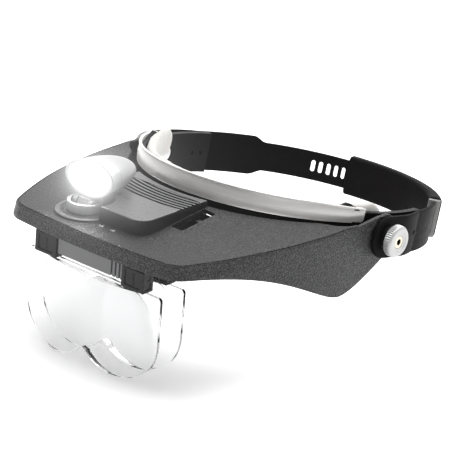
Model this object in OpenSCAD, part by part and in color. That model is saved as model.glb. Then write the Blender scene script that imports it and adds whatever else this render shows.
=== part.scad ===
// Head visor magnifier: adjustable headband, tilting visor with a lamp,
// and two flip-up binocular lens plates. Millimetres.
// Origin: midpoint of the visor's tilt axis. +Z up, the visor points to -Y,
// +X is the wearer's left. The visor is shown level.

/* [Headband] */
// Half width of the band
band_half_w = 80.9; // [80.4:0.1:81]
// Half length of the band, front to back
band_half_l = 92.65; // [92:0.05:93]
// Downward slope of the band to the back, degrees
band_tilt = 11.45; // [11:0.05:12]
// Height of the wide side straps
strap_h = 23.6; // [22:0.2:24]
// Height of the slotted strap ends
strap_narrow_h = 17.2; // [16:0.2:17.4]
// Height of the silver brow cover at its middle
brow_h = 14; // [12:0.5:14]
// Height of the foam brow pad
pad_h = 19; // [16:0.5:20]
// Thickness of the foam brow pad
pad_t = 7; // [5:0.5:8]
// Number of adjustment slots in the strap
slot_count = 9; // [9:1:11]

/* [Visor] */
// Height of the visor's flat top above the tilt axis
plate_z = 12; // [11.8:0.1:12.4]
// Thickness of the visor's top
plate_t = 2.2; // [2:0.1:2.2]
// Half width of the visor at its front edge
front_half_w = 57.8; // [56:0.2:60]
// How far the visor's corners lie in front of the tilt axis
front_y = 144; // [144:0.2:146]
// How far the front edge bows forward
front_bow = 3.6; // [3:0.2:4.2]
// Radius of the visor's front corners
corner_r = 13; // [10:0.5:15]
// Radius of the arm's round end at the pivot
ear_r = 12.5; // [12:0.1:12.5]

/* [Lamp] */
// Half width of the lamp head
lamp_half_w = 15.4; // [14.8:0.1:15.6]
// Half height of the lamp head
lamp_half_h = 9.4; // [9.2:0.1:9.5]
// Length of the lamp head behind its bezel
lamp_len = 30; // [27:0.5:31]
// Turn of the lamp head to the wearer's right, degrees
lamp_turn = 0; // [-10:1:20]
// Height of the lamp and battery housing's top
housing_z = 21; // [20.8:0.1:21]

/* [Lenses] */
// Radius of each lens lobe
lobe_r = 26; // [25:0.5:26]
// Half distance between the lens lobes' centres
lobe_x = 21.5; // [20:0.5:22]
// Thickness of the lens plate's flat flange
flange_t = 2.2; // [2:0.1:2.2]
// Extra thickness of the lens near the nose
lens_bulge = 7.6; // [5:0.2:7.6]
// Distance between the front and the rear lens hinge
lens_gap = 18; // [17.5:0.5:18.5]

/* [Hidden] */
$fn = 64;
eps = 0.01;
run_gap = 0.06;

// Band outline: four tangent arcs around an oval
end_r = 74;
end_y = band_half_l - end_r;
side_r = (end_r * end_r - end_y * end_y - band_half_w * band_half_w) / (2 * (end_r - band_half_w));
side_off = side_r - band_half_w;
band_centre = [0, 17.7, 5.9];
pivot_yb = -16.2;
pivot_zb = -9.3;
strap_top = pivot_zb + strap_h / 2;
strap_bottom = pivot_zb - strap_h / 2;

// Radial layers of the band, measured from its outline
frame_in = -4;
frame_front_out = -1.6;
frame_side_out = -0.4;
strap_in = -0.3;
strap_out = 2.1;
sleeve_in = -2.4;
sleeve_out = 5.5;

// Pivot stack along X
boss_x = 80.9;
arm_in = 81.3;
arm_out = 83.6;
tab_in = 84.1;
tab_out = 86.6;
knob_base = 86.7;
knob_face = 95;
knob_r = 9;
bolt_r = 2;

// Strap slots lie on the rear end arc, at angles from the rear centre line
slot_first = -33.1;
slot_step = 3.625;
latch_slot = slot_first + 6 * slot_step;
latch_pin_at = -2.2;
latch_pin_off = 7.4;

// Visor outline: one front arc and two side arcs
side_arc_y = -30;
front_arc_r = (front_half_w * front_half_w + front_bow * front_bow) / (2 * front_bow);
front_arc_y = front_arc_r - front_y - front_bow;
side_run = front_y + side_arc_y;
side_arc_r = (pow(arm_out - front_half_w, 2) + side_run * side_run) / (2 * (arm_out - front_half_w));
side_arc_x = arm_out - side_arc_r;
wall_t = arm_out - arm_in;
skirt_z = 4;
brow_gap_r = 77.5;
brow_gap_y = -1.3;
crown_z = 17.9;
crown_reach = 47;
crown_slope = 6.73;

// Lamp housing, lamp stem and batteries
stem_at = [-24, -124];
stem_r = 9.75;
turret_r = 16;
housing_right = 21.5;
housing_left = -31;
housing_front = -129;
housing_wall = 1.3;
lamp_z = 30.3;
lamp_back = 4.7;
lamp_tilt_z = 16.4;
cell_r = 5.25;
cell_len = 44.5;
cell_z = 14.2;
cell_y = [-97.6, -86.4];
bay_x = [-29.6, 19.8];
bay_y = [-103.4, -80.6];
door_x = [-27, housing_right];
door_y = [-101, -83];
door_t = 1.4;
pocket_x = [22.3, 30.3];
pocket_y = [-107, -80];
pocket_floor = 5;

// Lens hinges
hinge_y = -141;
hinge_z = -1;
lens_pin_r = 1.5;
clip_x = [23.4, 39];
clip_half_d = 4;
clip_top = 4.6;
clip_bottom = 8.4;
lens_top = -9.5;
lobe_z = -36;
flange_y = 0.5;
lens_ball_r = 95;
lens_ball_x = 8;

// ---------- shared shapes ----------

// Where two circles meet, on the side with the greater x
function meet(c1, r1, c2, r2) =
    let (
        d = norm(c2 - c1),
        along = (d * d + r1 * r1 - r2 * r2) / (2 * d),
        across = sqrt(r1 * r1 - along * along),
        dir = (c2 - c1) / d,
        side = [dir.y, -dir.x],
        p = c1 + along * dir + across * side,
        q = c1 + along * dir - across * side
    )
    p.x > q.x ? p : q;

// Points of a cubic curve, without its first point
function curve(p0, p1, p2, p3, steps = 12) = [
    for (i = [1:steps])
        let (t = i / steps, s = 1 - t)
        s * s * s * p0 + 3 * s * s * t * p1 + 3 * s * t * t * p2 + t * t * t * p3
];

// The band's own frame: centred on the oval and sloping down to the back
module in_band() {
    translate(band_centre)
        rotate([-band_tilt, 0, 0])
            children();
}

// A shape drawn in the Y-Z plane, extruded along X
module along_x(x0, x1) {
    translate([x0, 0, 0])
        rotate([90, 0, 90])
            linear_extrude(x1 - x0)
                children();
}

// A round bar along X
module rod_x(r, x0, x1, y = 0, z = 0) {
    translate([x0, y, z])
        rotate([0, 90, 0])
            cylinder(r = r, h = x1 - x0);
}

module both_sides() {
    children();
    mirror([1, 0, 0])
        children();
}

// The band's outline grown by d
module oval(d) {
    tangent_y = (side_r + d) * end_y / norm([side_off, end_y]);
    for (s = [-1, 1])
        translate([0, s * end_y])
            circle(end_r + d, $fn = 96);
    intersection() {
        translate([side_off, 0])
            circle(side_r + d, $fn = 96);
        translate([-side_off, 0])
            circle(side_r + d, $fn = 96);
        square([4 * band_half_w, 2 * tangent_y], center = true);
    }
}

// The sector of the band between two angles, 0 at the front and 90 at +X
module wedge(from, to) {
    far = 2;
    steps = ceil((to - from) / 30);
    polygon(concat([[0, 0]], [
        for (i = [0:steps])
            let (a = from + (to - from) * i / steps)
            far * [band_half_w * sin(a), -band_half_l * cos(a)]
    ]));
}

module band_sector(from, to, d0, d1, z0, z1) {
    translate([0, 0, z0])
        linear_extrude(z1 - z0)
            intersection() {
                difference() {
                    oval(d1);
                    oval(d0);
                }
                wedge(from, to);
            }
}

// X of the band's side arc, grown by d, at y
function side_x(d, y) = sqrt(pow(side_r + d, 2) - y * y) - side_off;

// A place on the rear arc, with local +X pointing outward
module at_rear(angle, d = 0) {
    translate([0, end_y, pivot_zb])
        rotate([0, 0, 90 - angle])
            translate([end_r + d, 0, 0])
                children();
}

// ---------- headband ----------

// Side view of the brow frame: narrow at the brow, full strap height at the temples
module frame_profile() {
    top = brow_h / 2 + 0.6;
    polygon([
        [-100, -10.5], [-60, -10.5], [-36, strap_bottom], [40, strap_bottom],
        [40, strap_top], [-30, strap_top], [-38, top], [-100, top]
    ]);
}

// Flat round pad on the frame that the visor's arm bears on
module frame_boss() {
    difference() {
        rod_x(11, 77.5, boss_x);
        rod_x(bolt_r + run_gap, 70, 90);
    }
}

module brow_frame() {
    color("#1b1b1d")
        difference() {
            union() {
                in_band()
                    intersection() {
                        union() {
                            band_sector(-104, 104, frame_in, frame_front_out, strap_bottom, 8);
                            for (s = [0, 1])
                                mirror([s, 0, 0])
                                    band_sector(67.6, 104, frame_front_out - 1, frame_side_out, strap_bottom, 8);
                        }
                        along_x(-100, 100)
                            frame_profile();
                    }
                both_sides()
                    frame_boss();
            }
            both_sides() {
                rod_x(bolt_r + run_gap, 70, 90);
                rod_x(5.3, 60, 78.4);
                in_band()
                    strap_rivet_holes();
            }
        }
}

module brow_cover() {
    rim = 1.2;
    color("#b9bab8")
        in_band() {
            intersection() {
                band_sector(-67, 67, frame_front_out + 0.05, -0.1, -brow_h / 2 + 1.6, brow_h / 2 + 1.2);
                along_x(-100, 100)
                    polygon([[-100, -5.4], [-31, -3.6], [-31, 7], [-100, 8.6]]);
            }
            intersection() {
                band_sector(-67, 67, frame_front_out - 0.9, -0.1, brow_h / 2 + 0.7, brow_h / 2 + 0.7 + rim);
                along_x(-100, 100)
                    polygon([[-100, 7.7], [-45, 7.7], [-45, 8.9], [-100, 8.9]]);
            }
        }
}

// Side view of the pad: round ends at the temples
module pad_profile() {
    end_c = -26;
    hull() {
        translate([end_c, -0.6])
            circle(pad_h / 2 - 0.5, $fn = 32);
        translate([-100, -0.4 - pad_h / 2])
            square([10, pad_h]);
    }
}

module brow_pad() {
    color("#e9e6dc")
        in_band()
            intersection() {
                band_sector(-84, 84, frame_in - 0.2 - pad_t, frame_in - 0.2, -14, 12);
                along_x(-100, 100)
                    pad_profile();
            }
}

// Side view of a strap: round front end at the pivot, narrow at the rear
module strap_profile() {
    narrow_top = pivot_zb + strap_narrow_h / 2;
    narrow_bottom = pivot_zb - strap_narrow_h / 2;
    translate([pivot_yb, pivot_zb])
        circle(strap_h / 2);
    polygon([
        [pivot_yb, strap_bottom], [54, strap_bottom], [60, narrow_bottom], [110, narrow_bottom],
        [110, narrow_top], [60, narrow_top], [53, strap_top], [pivot_yb, strap_top]
    ]);
}

// The strap's front tab steps inward behind the visor's arm
module strap_tab() {
    join_y = 22;
    translate([0, 0, strap_bottom])
        linear_extrude(strap_h)
            polygon([
                [tab_in, -30], [tab_out, -30], [tab_out, -3],
                [side_x(strap_out, join_y), join_y], [side_x(strap_in, join_y), join_y], [tab_in, -2]
            ]);
}

module strap_rivet_holes() {
    for (y = [8, 15])
        rod_x(1.3, 70, 90, y, pivot_zb);
}

// One side strap on the +X side, its rear end at end_angle
module strap_half(end_angle) {
    difference() {
        in_band()
            difference() {
                intersection() {
                    union() {
                        strap_tab();
                        band_sector(103.4, end_angle, strap_in, strap_out, strap_bottom, strap_top);
                    }
                    along_x(-40, 100)
                        strap_profile();
                }
                strap_rivet_holes();
            }
        rod_x(bolt_r + run_gap, 80, 90);
    }
}

module strap_left() {
    color("#17171a")
        strap_half(160);
}

// One rounded slot through the strap
module strap_slot() {
    half_w = 1.25;
    half_h = 3.5;
    for (s = [-1, 1])
        translate([-3, 0, s * (half_h - half_w)])
            rotate([0, 90, 0])
                cylinder(r = half_w, h = 8);
    translate([-3, -half_w, half_w - half_h])
        cube([8, 2 * half_w, 2 * (half_h - half_w)]);
}

module strap_right() {
    color("#17171a")
        difference() {
            mirror([1, 0, 0])
                strap_half(181);
            in_band()
                for (i = [0:slot_count - 1])
                    at_rear(slot_first + i * slot_step)
                        strap_slot();
        }
}

// Two rivets on each side join the strap to the brow frame
module strap_rivets() {
    color("#3a3a3c")
        both_sides()
            in_band()
                for (y = [8, 15])
                    rod_x(1.3, side_x(frame_in, y) + 0.2, side_x(strap_out, y) + 1.4, y, pivot_zb);
}

module rear_sleeve() {
    wide = 23.3;
    low = pivot_zb - wide / 2;
    color("#141416")
        in_band()
            difference() {
                band_sector(132, 195, sleeve_in, sleeve_out, low, low + wide);
                band_sector(130, 197, strap_in - 0.4, strap_out + 0.4, pivot_zb - 9, pivot_zb + 9);
                at_rear(latch_slot, 1)
                    translate([0, -2.2, -3.6])
                        cube([8, 4.4, 7.2]);
                at_rear(latch_pin_at + 8.5, 3)
                    translate([0, -8, -6.6])
                        cube([6, 17.5, 13.2]);
            }
    color("#141416")
        in_band()
            for (s = [-1, 1])
                latch_lug(s);
}

// The two ears that carry the latch pin
module latch_lug(s) {
    at_rear(latch_pin_at, 0)
        translate([0, 0, s * 8.2 - 1.2])
            difference() {
                translate([sleeve_out - 0.5, -2.4, 0])
                    cube([latch_pin_off - sleeve_out + 2.6, 4.8, 2.4]);
                translate([latch_pin_off, 0, -1])
                    cylinder(r = 1, h = 5);
            }
}

module latch_pin() {
    color("#9a9a9c")
        in_band()
            at_rear(latch_pin_at, latch_pin_off)
                translate([0, 0, -9.4])
                    cylinder(r = 1, h = 18.8);
}

// Latch lever: a curved plate on a pin, with a tooth in one strap slot
module latch_lever() {
    half_h = 6.2;
    tooth_y = [-1, 0.3];
    color("#a8a9a8")
        in_band() {
            difference() {
                union() {
                    translate([0, end_y, pivot_zb - half_h])
                        linear_extrude(2 * half_h)
                            intersection() {
                                difference() {
                                    circle(end_r + sleeve_out + 2.6, $fn = 96);
                                    circle(end_r + sleeve_out + 0.6, $fn = 96);
                                }
                                lever_wedge();
                            }
                    at_rear(latch_pin_at, latch_pin_off)
                        translate([0, 0, -half_h])
                            cylinder(r = 1.8, h = 2 * half_h);
                    at_rear(latch_slot, 0.4)
                        translate([0, tooth_y[0], -2.6])
                            cube([sleeve_out + 1.2, tooth_y[1] - tooth_y[0], 5.2]);
                }
                at_rear(latch_pin_at, latch_pin_off)
                    translate([0, 0, -10])
                        cylinder(r = 1 + run_gap, h = 20);
            }
        }
}

module lever_wedge() {
    reach = 130;
    a0 = latch_slot - 1.6;
    a1 = latch_pin_at + 12.5;
    polygon([[0, 0], reach * [sin(a0), cos(a0)], reach * [sin(a1), cos(a1)]]);
}

// Grey end piece that closes the sleeve around the left strap
module strap_keeper() {
    half_h = 10.8;
    rim = 1.2;
    color("#8f9091")
        in_band()
            difference() {
                band_sector(129.4, 131.9, sleeve_in, sleeve_out - 1, pivot_zb - half_h, pivot_zb + half_h);
                band_sector(
                    128, 134, strap_in - 0.1, strap_out + 0.1,
                    pivot_zb - half_h + rim, pivot_zb + half_h - rim
                );
            }
}

// ---------- visor pivots ----------

module pivot_bolts() {
    color("#8d8466")
        both_sides() {
            rod_x(bolt_r, 78.3, 93.4);
            rod_x(5, 76.5, 78.35);
        }
}

module pivot_washers() {
    color("#77787a")
        both_sides()
            for (x = [boss_x + 0.02, arm_out + 0.05])
                difference() {
                    rod_x(8, x, x + 0.34);
                    rod_x(bolt_r + run_gap, x - 1, x + 1);
                }
}

// Knurled outline: small teeth all round
function knurl(r, depth, teeth) = [
    for (i = [0:2 * teeth - 1])
        let (a = 180 * i / teeth, q = i % 2 == 0 ? r : r - depth)
        q * [cos(a), sin(a)]
];

module knob() {
    chamfer = 0.8;
    difference() {
        union() {
            rod_x(7.2, knob_base, 88.2);
            rod_x(knob_r - 0.6, 88, 89);
            along_x(88.6, knob_face - chamfer)
                polygon(knurl(knob_r, 0.35, 44));
            translate([knob_face - 2 * chamfer, 0, 0])
                rotate([0, 90, 0])
                    cylinder(r = knob_r - 0.6, h = 2 * chamfer);
        }
        rod_x(bolt_r + run_gap, 80, 92);
        rod_x(3.6, 91.4, 100);
    }
}

// Brass insert with a hexagon socket in the middle of the knob
module knob_insert() {
    difference() {
        rod_x(3.5, 91.45, knob_face - 0.5);
        rod_x(bolt_r + run_gap, 90, 93.6);
        translate([93, 0, 0])
            rotate([0, 90, 0])
                cylinder(r = 1.9, h = 4, $fn = 6);
    }
}

module knob_left() {
    color("#d8d8d6")
        knob();
}

module knob_right() {
    color("#d8d8d6")
        mirror([1, 0, 0])
            knob();
}

module knob_inserts_left() {
    color("#a39a78")
        knob_insert();
}

module knob_inserts_right() {
    color("#a39a78")
        mirror([1, 0, 0])
            knob_insert();
}

// ---------- visor ----------

// Plan outline of the visor, pulled in by d, up to the start of the arms
module visor_outline(d = 0) {
    front_c = [0, front_arc_y];
    side_c = [side_arc_x, side_arc_y];
    round_r = corner_r - d;
    round_c = meet(front_c, front_arc_r - corner_r, side_c, side_arc_r - corner_r);
    front_dir = (round_c - front_c) / norm(round_c - front_c);
    side_dir = (round_c - side_c) / norm(round_c - side_c);
    intersection() {
        translate(front_c)
            circle(front_arc_r - d, $fn = 128);
        translate([side_arc_x, side_arc_y])
            circle(side_arc_r - d, $fn = 128);
        translate([-side_arc_x, side_arc_y])
            circle(side_arc_r - d, $fn = 128);
        translate([-100, -200])
            square([200, 200 + side_arc_y]);
        difference() {
            square(400, center = true);
            for (s = [-1, 1])
                scale([s, 1])
                    polygon([
                        round_c, round_c + 2 * corner_r * front_dir,
                        round_c + 4 * corner_r * (front_dir + side_dir),
                        round_c + 2 * corner_r * side_dir
                    ]);
        }
    }
    for (s = [-1, 1])
        translate([s * round_c.x, round_c.y])
            circle(round_r);
}

// Side view of the visor: skirt, dipping cheek and the round ear at the pivot
module visor_profile() {
    cheek = [-34, -26.4];
    ear = 25.5;
    polygon(concat(
        [[-160, plate_z], [-160, skirt_z], [-146, skirt_z]],
        curve([-146, skirt_z], [-82, skirt_z], [-50, -27], cheek),
        curve(cheek, [-24, -26.1], [-12, -20], ear_r * [sin(ear), -cos(ear)]),
        [[0, 0], [0, plate_z], [side_arc_y, plate_z]]
    ));
    circle(ear_r);
}

module visor_walls() {
    intersection() {
        translate([0, 0, -40])
            linear_extrude(40 + plate_z + 1)
                union() {
                    difference() {
                        visor_outline();
                        visor_outline(wall_t);
                        translate([-arm_in, side_arc_y - 4])
                            square([2 * arm_in, 10]);
                    }
                    for (s = [-1, 1])
                        translate([s > 0 ? arm_in : -arm_out, side_arc_y - 1])
                            square([wall_t, 50]);
                }
        along_x(-100, 100)
            visor_profile();
    }
}

// Everything behind this arc is cut away for the brow
module brow_gap(extra = 0) {
    translate([0, brow_gap_y])
        circle(brow_gap_r + extra, $fn = 96);
}

// Raised rear edge of the visor's top, highest at the middle
module visor_crown() {
    intersection() {
        translate([0, brow_gap_y, 0])
            rotate_extrude($fn = 96)
                polygon([
                    [brow_gap_r, plate_z - 1], [brow_gap_r, crown_z],
                    [brow_gap_r + crown_reach, plate_z], [brow_gap_r + crown_reach, plate_z - 1]
                ]);
        translate([0, side_arc_y, plate_z + 0.1])
            rotate([-crown_slope, 0, 0])
                translate([-75, -110, -30])
                    cube([150, 114, 30]);
        translate([0, 0, plate_z - 1])
            linear_extrude(20)
                difference() {
                    visor_outline(1);
                    translate([-100, side_arc_y - 0.5])
                        square([200, 60]);
                    housing_plan();
                    translate(stem_at)
                        circle(turret_r + 0.4);
                }
    }
}

module visor_shell() {
    color("#333436")
        difference() {
            union() {
                visor_walls();
                translate([0, 0, plate_z - plate_t])
                    linear_extrude(plate_t)
                        difference() {
                            visor_outline(1);
                            brow_gap();
                        }
                visor_crown();
                translate([pocket_x[0] - 1.5, pocket_y[0] - 1.5, pocket_floor - 1.5])
                    cube([pocket_x[1] - pocket_x[0] + 3, pocket_y[1] - pocket_y[0] + 3, plate_z - pocket_floor]);
            }
            translate([pocket_x[0], pocket_y[0], pocket_floor])
                cube([pocket_x[1] - pocket_x[0], pocket_y[1] - pocket_y[0], 20]);
            translate([bay_x[0] - 0.1, bay_y[0] - 0.1, 0])
                cube([bay_x[1] - bay_x[0] + 0.2, bay_y[1] - bay_y[0] + 0.2, 30]);
            translate([stem_at.x, stem_at.y, 0])
                cylinder(r = 4 + run_gap, h = 30);
            for (p = screw_places)
                translate([p.x, p.y, 0])
                    cylinder(r = 1.25, h = 30);
            both_sides()
                rod_x(bolt_r + run_gap, 80, 90);
        }
}

screw_places = [[-4, -131.5], [4, -131.5]];

// Plan outline of the lamp and battery housing
module housing_plan() {
    front_r = 9;
    difference() {
        union() {
            translate([housing_left, -107])
                square([housing_right - housing_left, 60]);
            translate([-14, housing_front])
                square([housing_right + 14 - front_r, 60]);
            translate([-14, housing_front + front_r])
                square([housing_right + 14, 60]);
            translate([housing_right - front_r, housing_front + front_r])
                circle(front_r);
        }
        brow_gap(1.2);
        translate(stem_at)
            circle(turret_r);
    }
}

// The housing's plan outline pulled in by the wall, for the hollow inside
module housing_hollow() {
    translate([-6, housing_front + housing_wall])
        square([16, 20]);
    translate([-6, -110])
        square([housing_right - housing_wall + 6, 5]);
    translate([10, housing_front + 9])
        square([housing_right - housing_wall - 10, 15]);
}

module lamp_housing() {
    color("#9b9c9e")
        difference() {
            translate([0, 0, plate_z])
                linear_extrude(housing_z - plate_z)
                    housing_plan();
            translate([0, 0, plate_z - 1])
                linear_extrude(housing_z - plate_z + 1 - housing_wall)
                    housing_hollow();
            translate([bay_x[0], bay_y[0], 5])
                cube([bay_x[1] - bay_x[0], bay_y[1] - bay_y[0], housing_z - door_t - 5 - 0.1]);
            translate([door_x[0] - 0.15, door_y[0] - 0.15, housing_z - door_t - 0.15])
                cube([60, door_y[1] - door_y[0] + 0.3, 5]);
            for (y = [door_y[0] - 0.15, door_y[1] + 0.15])
                translate([door_x[0] + 4, y - 0.75, housing_z - door_t - 0.15])
                    cube([60, 1.5, 0.85]);
        }
}

// Round seat that the lamp's stem turns on
module stem_ring() {
    color("#9b9c9e")
        translate([stem_at.x, stem_at.y, plate_z + 0.02])
            difference() {
                cylinder(r = turret_r - 0.1, h = 1.38);
                translate([0, 0, -1])
                    cylinder(r = 4 + run_gap, h = 4);
            }
}

// Sliding cover over the cells, with curved finger ribs
module battery_door() {
    rib_pitch = 3;
    z0 = housing_z - door_t;
    color("#8c8d8f")
        difference() {
            union() {
                translate([door_x[0], door_y[0], z0])
                    cube([door_x[1] - door_x[0], door_y[1] - door_y[0], door_t]);
                for (y = [door_y[0], door_y[1]])
                    translate([door_x[0] + 4.6, y - 0.6, z0])
                        cube([door_x[1] - door_x[0] - 4.6, 1.2, 0.55]);
            }
            for (i = [0:5])
                translate([0, brow_gap_y, housing_z - 0.7])
                    difference() {
                        cylinder(r = 83.6 + rib_pitch * i + 0.9, h = 2, $fn = 96);
                        translate([0, 0, -1])
                            cylinder(r = 83.6 + rib_pitch * i, h = 4, $fn = 96);
                    }
        }
}

// Floor of the battery bay, pushed up from below the visor
module battery_tray() {
    floor_z = 7;
    color("#242426")
        difference() {
            union() {
                translate([bay_x[0], bay_y[0], floor_z])
                    cube([bay_x[1] - bay_x[0], bay_y[1] - bay_y[0], 5.6]);
                translate([bay_x[0] - 2, bay_y[0] - 3, floor_z])
                    cube([bay_x[1] - bay_x[0] + 2, bay_y[1] - bay_y[0] + 3, plate_z - plate_t - floor_z]);
            }
            translate([bay_x[0] + 0.6, bay_y[0] + 0.6, floor_z + 1.4])
                cube([bay_x[1] - bay_x[0] - 1.2, bay_y[1] - bay_y[0] - 1.2, 10]);
            for (p = tray_screw_places)
                translate([p.x, p.y, 0])
                    cylinder(r = 1.3, h = 20);
        }
}

tray_screw_places = [[-20, -105], [10, -105]];

module tray_screws() {
    color("#8a8b8d")
        for (p = tray_screw_places)
            translate([p.x, p.y, 0]) {
                translate([0, 0, 5.8])
                    cylinder(r = 2.2, h = 1.2);
                translate([0, 0, 6.9])
                    cylinder(r = 1.25, h = 2.85);
            }
}

// One cell along X, with its raised button at the +X end
module cell() {
    rotate([0, 90, 0]) {
        cylinder(r = cell_r, h = cell_len - 1);
        translate([0, 0, cell_len - 1.1])
            cylinder(r = 1.9, h = 1.1);
    }
}

module battery_cells() {
    ends = [-26.1, 16.25];
    color("#5d7fa8") {
        translate([ends[0], cell_y[0], cell_z])
            cell();
        translate([ends[1], cell_y[1], cell_z])
            mirror([1, 0, 0])
                cell();
    }
}

// A stepped spring contact that narrows towards the cell
module contact_coil() {
    step_h = 0.8;
    rotate([0, 90, 0])
        for (i = [0:2])
            translate([0, 0, step_h * i])
                difference() {
                    cylinder(r = 4.4 - 0.6 * i, h = step_h);
                    translate([0, 0, -1])
                        cylinder(r = 3.2 - 0.6 * i, h = 3);
                }
}

module battery_contacts() {
    plate_x = [bay_x[0] + 0.65, bay_x[1] - 1.05];
    mid_y = (cell_y[0] + cell_y[1]) / 2;
    color("#c2c3c4") {
        for (x = plate_x)
            for (y = cell_y)
                translate([x, y - 4.6, cell_z - 4.6])
                    cube([0.4, 9.2, 9]);
        translate([plate_x[1], mid_y - 1.5, cell_z - 4.6])
            cube([0.4, 3, 4]);
        translate([plate_x[0] + 0.4, cell_y[0], cell_z])
            contact_coil();
        translate([plate_x[1], cell_y[1], cell_z])
            mirror([1, 0, 0])
                contact_coil();
    }
}

// Slide switch standing in the finger pocket beside the housing
module switch_body() {
    color("#0f0f10")
        difference() {
            translate([23.3, -93, pocket_floor])
                cube([6, 11, 4.4]);
            translate([25.3, -91.5, pocket_floor + 2])
                cube([2, 8, 4]);
        }
}

module switch_slider() {
    color("#d5d6d6") {
        translate([25.45, -89.8, pocket_floor + 2.2])
            cube([1.7, 2.6, 5]);
        translate([24.7, -90.3, pocket_floor + 6.2])
            cube([3.2, 3.6, 2.2]);
    }
}

// ---------- lamp ----------

// The lamp's own frame: origin on the stem's axis, facing -Y
module in_lamp(z = 0) {
    translate([stem_at.x, stem_at.y, z])
        rotate([0, 0, -lamp_turn])
            children();
}

// The lamp head's frame: origin at the middle of its bezel's back
module in_head() {
    in_lamp(lamp_z)
        translate([0, lamp_back, 0])
            children();
}

module lamp_stem() {
    top = 18.9;
    base = plate_z + 1.5;
    color("#c9cacb")
        in_lamp()
            difference() {
                union() {
                    translate([0, 0, base])
                        cylinder(r = stem_r, h = top - base);
                    translate([0, 0, 8])
                        cylinder(r = 4, h = 6);
                }
                translate([-4.2, -3.6, lamp_tilt_z - 2.6])
                    cube([8.4, 7, 10]);
                rod_x(1, -7.4, 7.4, 0, lamp_tilt_z);
                translate([0, 0, 0])
                    cylinder(r = 1.6, h = 14);
            }
}

// Ring under the visor that keeps the stem in its hole
module stem_retainer() {
    color("#77787a")
        in_lamp()
            translate([0, 0, 8.1])
                difference() {
                    cylinder(r = 6.4, h = 1.5);
                    translate([0, 0, -1])
                        cylinder(r = 4.02, h = 4);
                }
}

module tilt_pin() {
    color("#9a9a9c")
        in_lamp()
            rod_x(1, -7.3, 7.3, 0, lamp_tilt_z);
}

// Foot of the lamp head: a knuckle on the tilt pin and a saddle under the shell
module lamp_lug() {
    half_w = 4;
    neck_y = [-0.9, 2.4];
    shelf_z = 19.25;
    saddle_y = [3.8, 9];
    color("#bcbdbe")
        in_lamp()
            difference() {
                union() {
                    rod_x(2.4, -half_w, half_w, 0, lamp_tilt_z);
                    translate([-half_w, neck_y[0], lamp_tilt_z])
                        cube([2 * half_w, neck_y[1] - neck_y[0], shelf_z + 0.85 - lamp_tilt_z]);
                    translate([-half_w, neck_y[0], shelf_z])
                        cube([2 * half_w, saddle_y[1] - neck_y[0], 0.85]);
                    translate([-half_w, saddle_y[0], shelf_z])
                        cube([2 * half_w, saddle_y[1] - saddle_y[0], lamp_z - lamp_half_h + 1.4 - shelf_z]);
                }
                rod_x(1 + run_gap, -10, 10, 0, lamp_tilt_z);
                translate([0, lamp_back, lamp_z])
                    lamp_egg(0.02);
            }
}

// Points of a quarter oval, from its half width to its tip
function quarter_oval(half_w, len, steps = 14) = [
    for (i = [0:steps])
        let (a = 90 * i / steps)
        [half_w * cos(a), len * sin(a)]
];

// Round-nosed body behind the bezel, wider than it is high, grown by d
module lamp_egg(d) {
    side = quarter_oval(lamp_half_h + d, lamp_len + d);
    intersection() {
        rotate([-90, 0, 0])
            rotate_extrude()
                polygon(concat([[0, 0]], quarter_oval(lamp_half_w + d, lamp_len + d)));
        along_x(-lamp_half_w - 2, lamp_half_w + 2)
            polygon(concat(
                [for (p = side) [p.y, p.x]],
                [for (i = [1:len(side)]) let (p = side[len(side) - i]) [p.y, -p.x]]
            ));
    }
}

module lamp_shell() {
    wall = 1.4;
    color("#cfd0d1")
        in_head()
            difference() {
                lamp_egg(0);
                lamp_egg(-wall);
            }
}

// An oval disc facing -Y
module oval_disc(half_w, half_h, y0, y1) {
    translate([0, y1, 0])
        rotate([90, 0, 0])
            linear_extrude(y1 - y0)
                scale([half_w, half_h])
                    circle(1, $fn = 48);
}

module lamp_bezel() {
    color("#d9dadb")
        in_head()
            difference() {
                union() {
                    oval_disc(16.1, 10.1, -4.6, -1.01);
                    oval_disc(lamp_half_w - 1.6, lamp_half_h - 1.6, -2, 1.6);
                }
                oval_disc(13.6, 7.8, -5, -3);
                oval_disc(12.3, 6.6, -4, 3);
            }
}

module lamp_reflector() {
    color("#e6e7e8")
        in_head()
            difference() {
                oval_disc(12.1, 6.4, -2.4, 3.4);
                translate([0, 2, 0])
                    rotate([90, 0, 0])
                        scale([1.8, 1])
                            cylinder(r1 = 2.6, r2 = 6, h = 5);
                translate([0, 4, 0])
                    rotate([90, 0, 0])
                        cylinder(r = 2.6, h = 3);
            }
}

module lamp_lens() {
    color("#f4f6f8")
        in_head()
            oval_disc(13.5, 7.7, -4.4, -3.05);
}

module led_chip() {
    color("#fdf6c8")
        in_head()
            translate([0, 3.4, 0])
                rotate([90, 0, 0]) {
                    cylinder(r = 2.5, h = 1.9);
                    translate([0, 0, 1.9 - eps])
                        cylinder(r1 = 2, r2 = 1.1, h = 0.9);
                }
}

module led_board() {
    color("#2f6b3e")
        in_head()
            translate([0, 5, 0])
                rotate([90, 0, 0])
                    cylinder(r = 7.4, h = 1.5);
}

// ---------- lenses ----------

// Fixed bar that carries a lens hinge, hung from the visor's underside
module lens_bar(y, half_len) {
    difference() {
        translate([-half_len, y - 3, -3.4])
            cube([2 * half_len, 6, plate_z - plate_t + 3.4]);
        rod_x(lens_pin_r, -half_len - 1, half_len + 1, y, hinge_z);
    }
}

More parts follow.
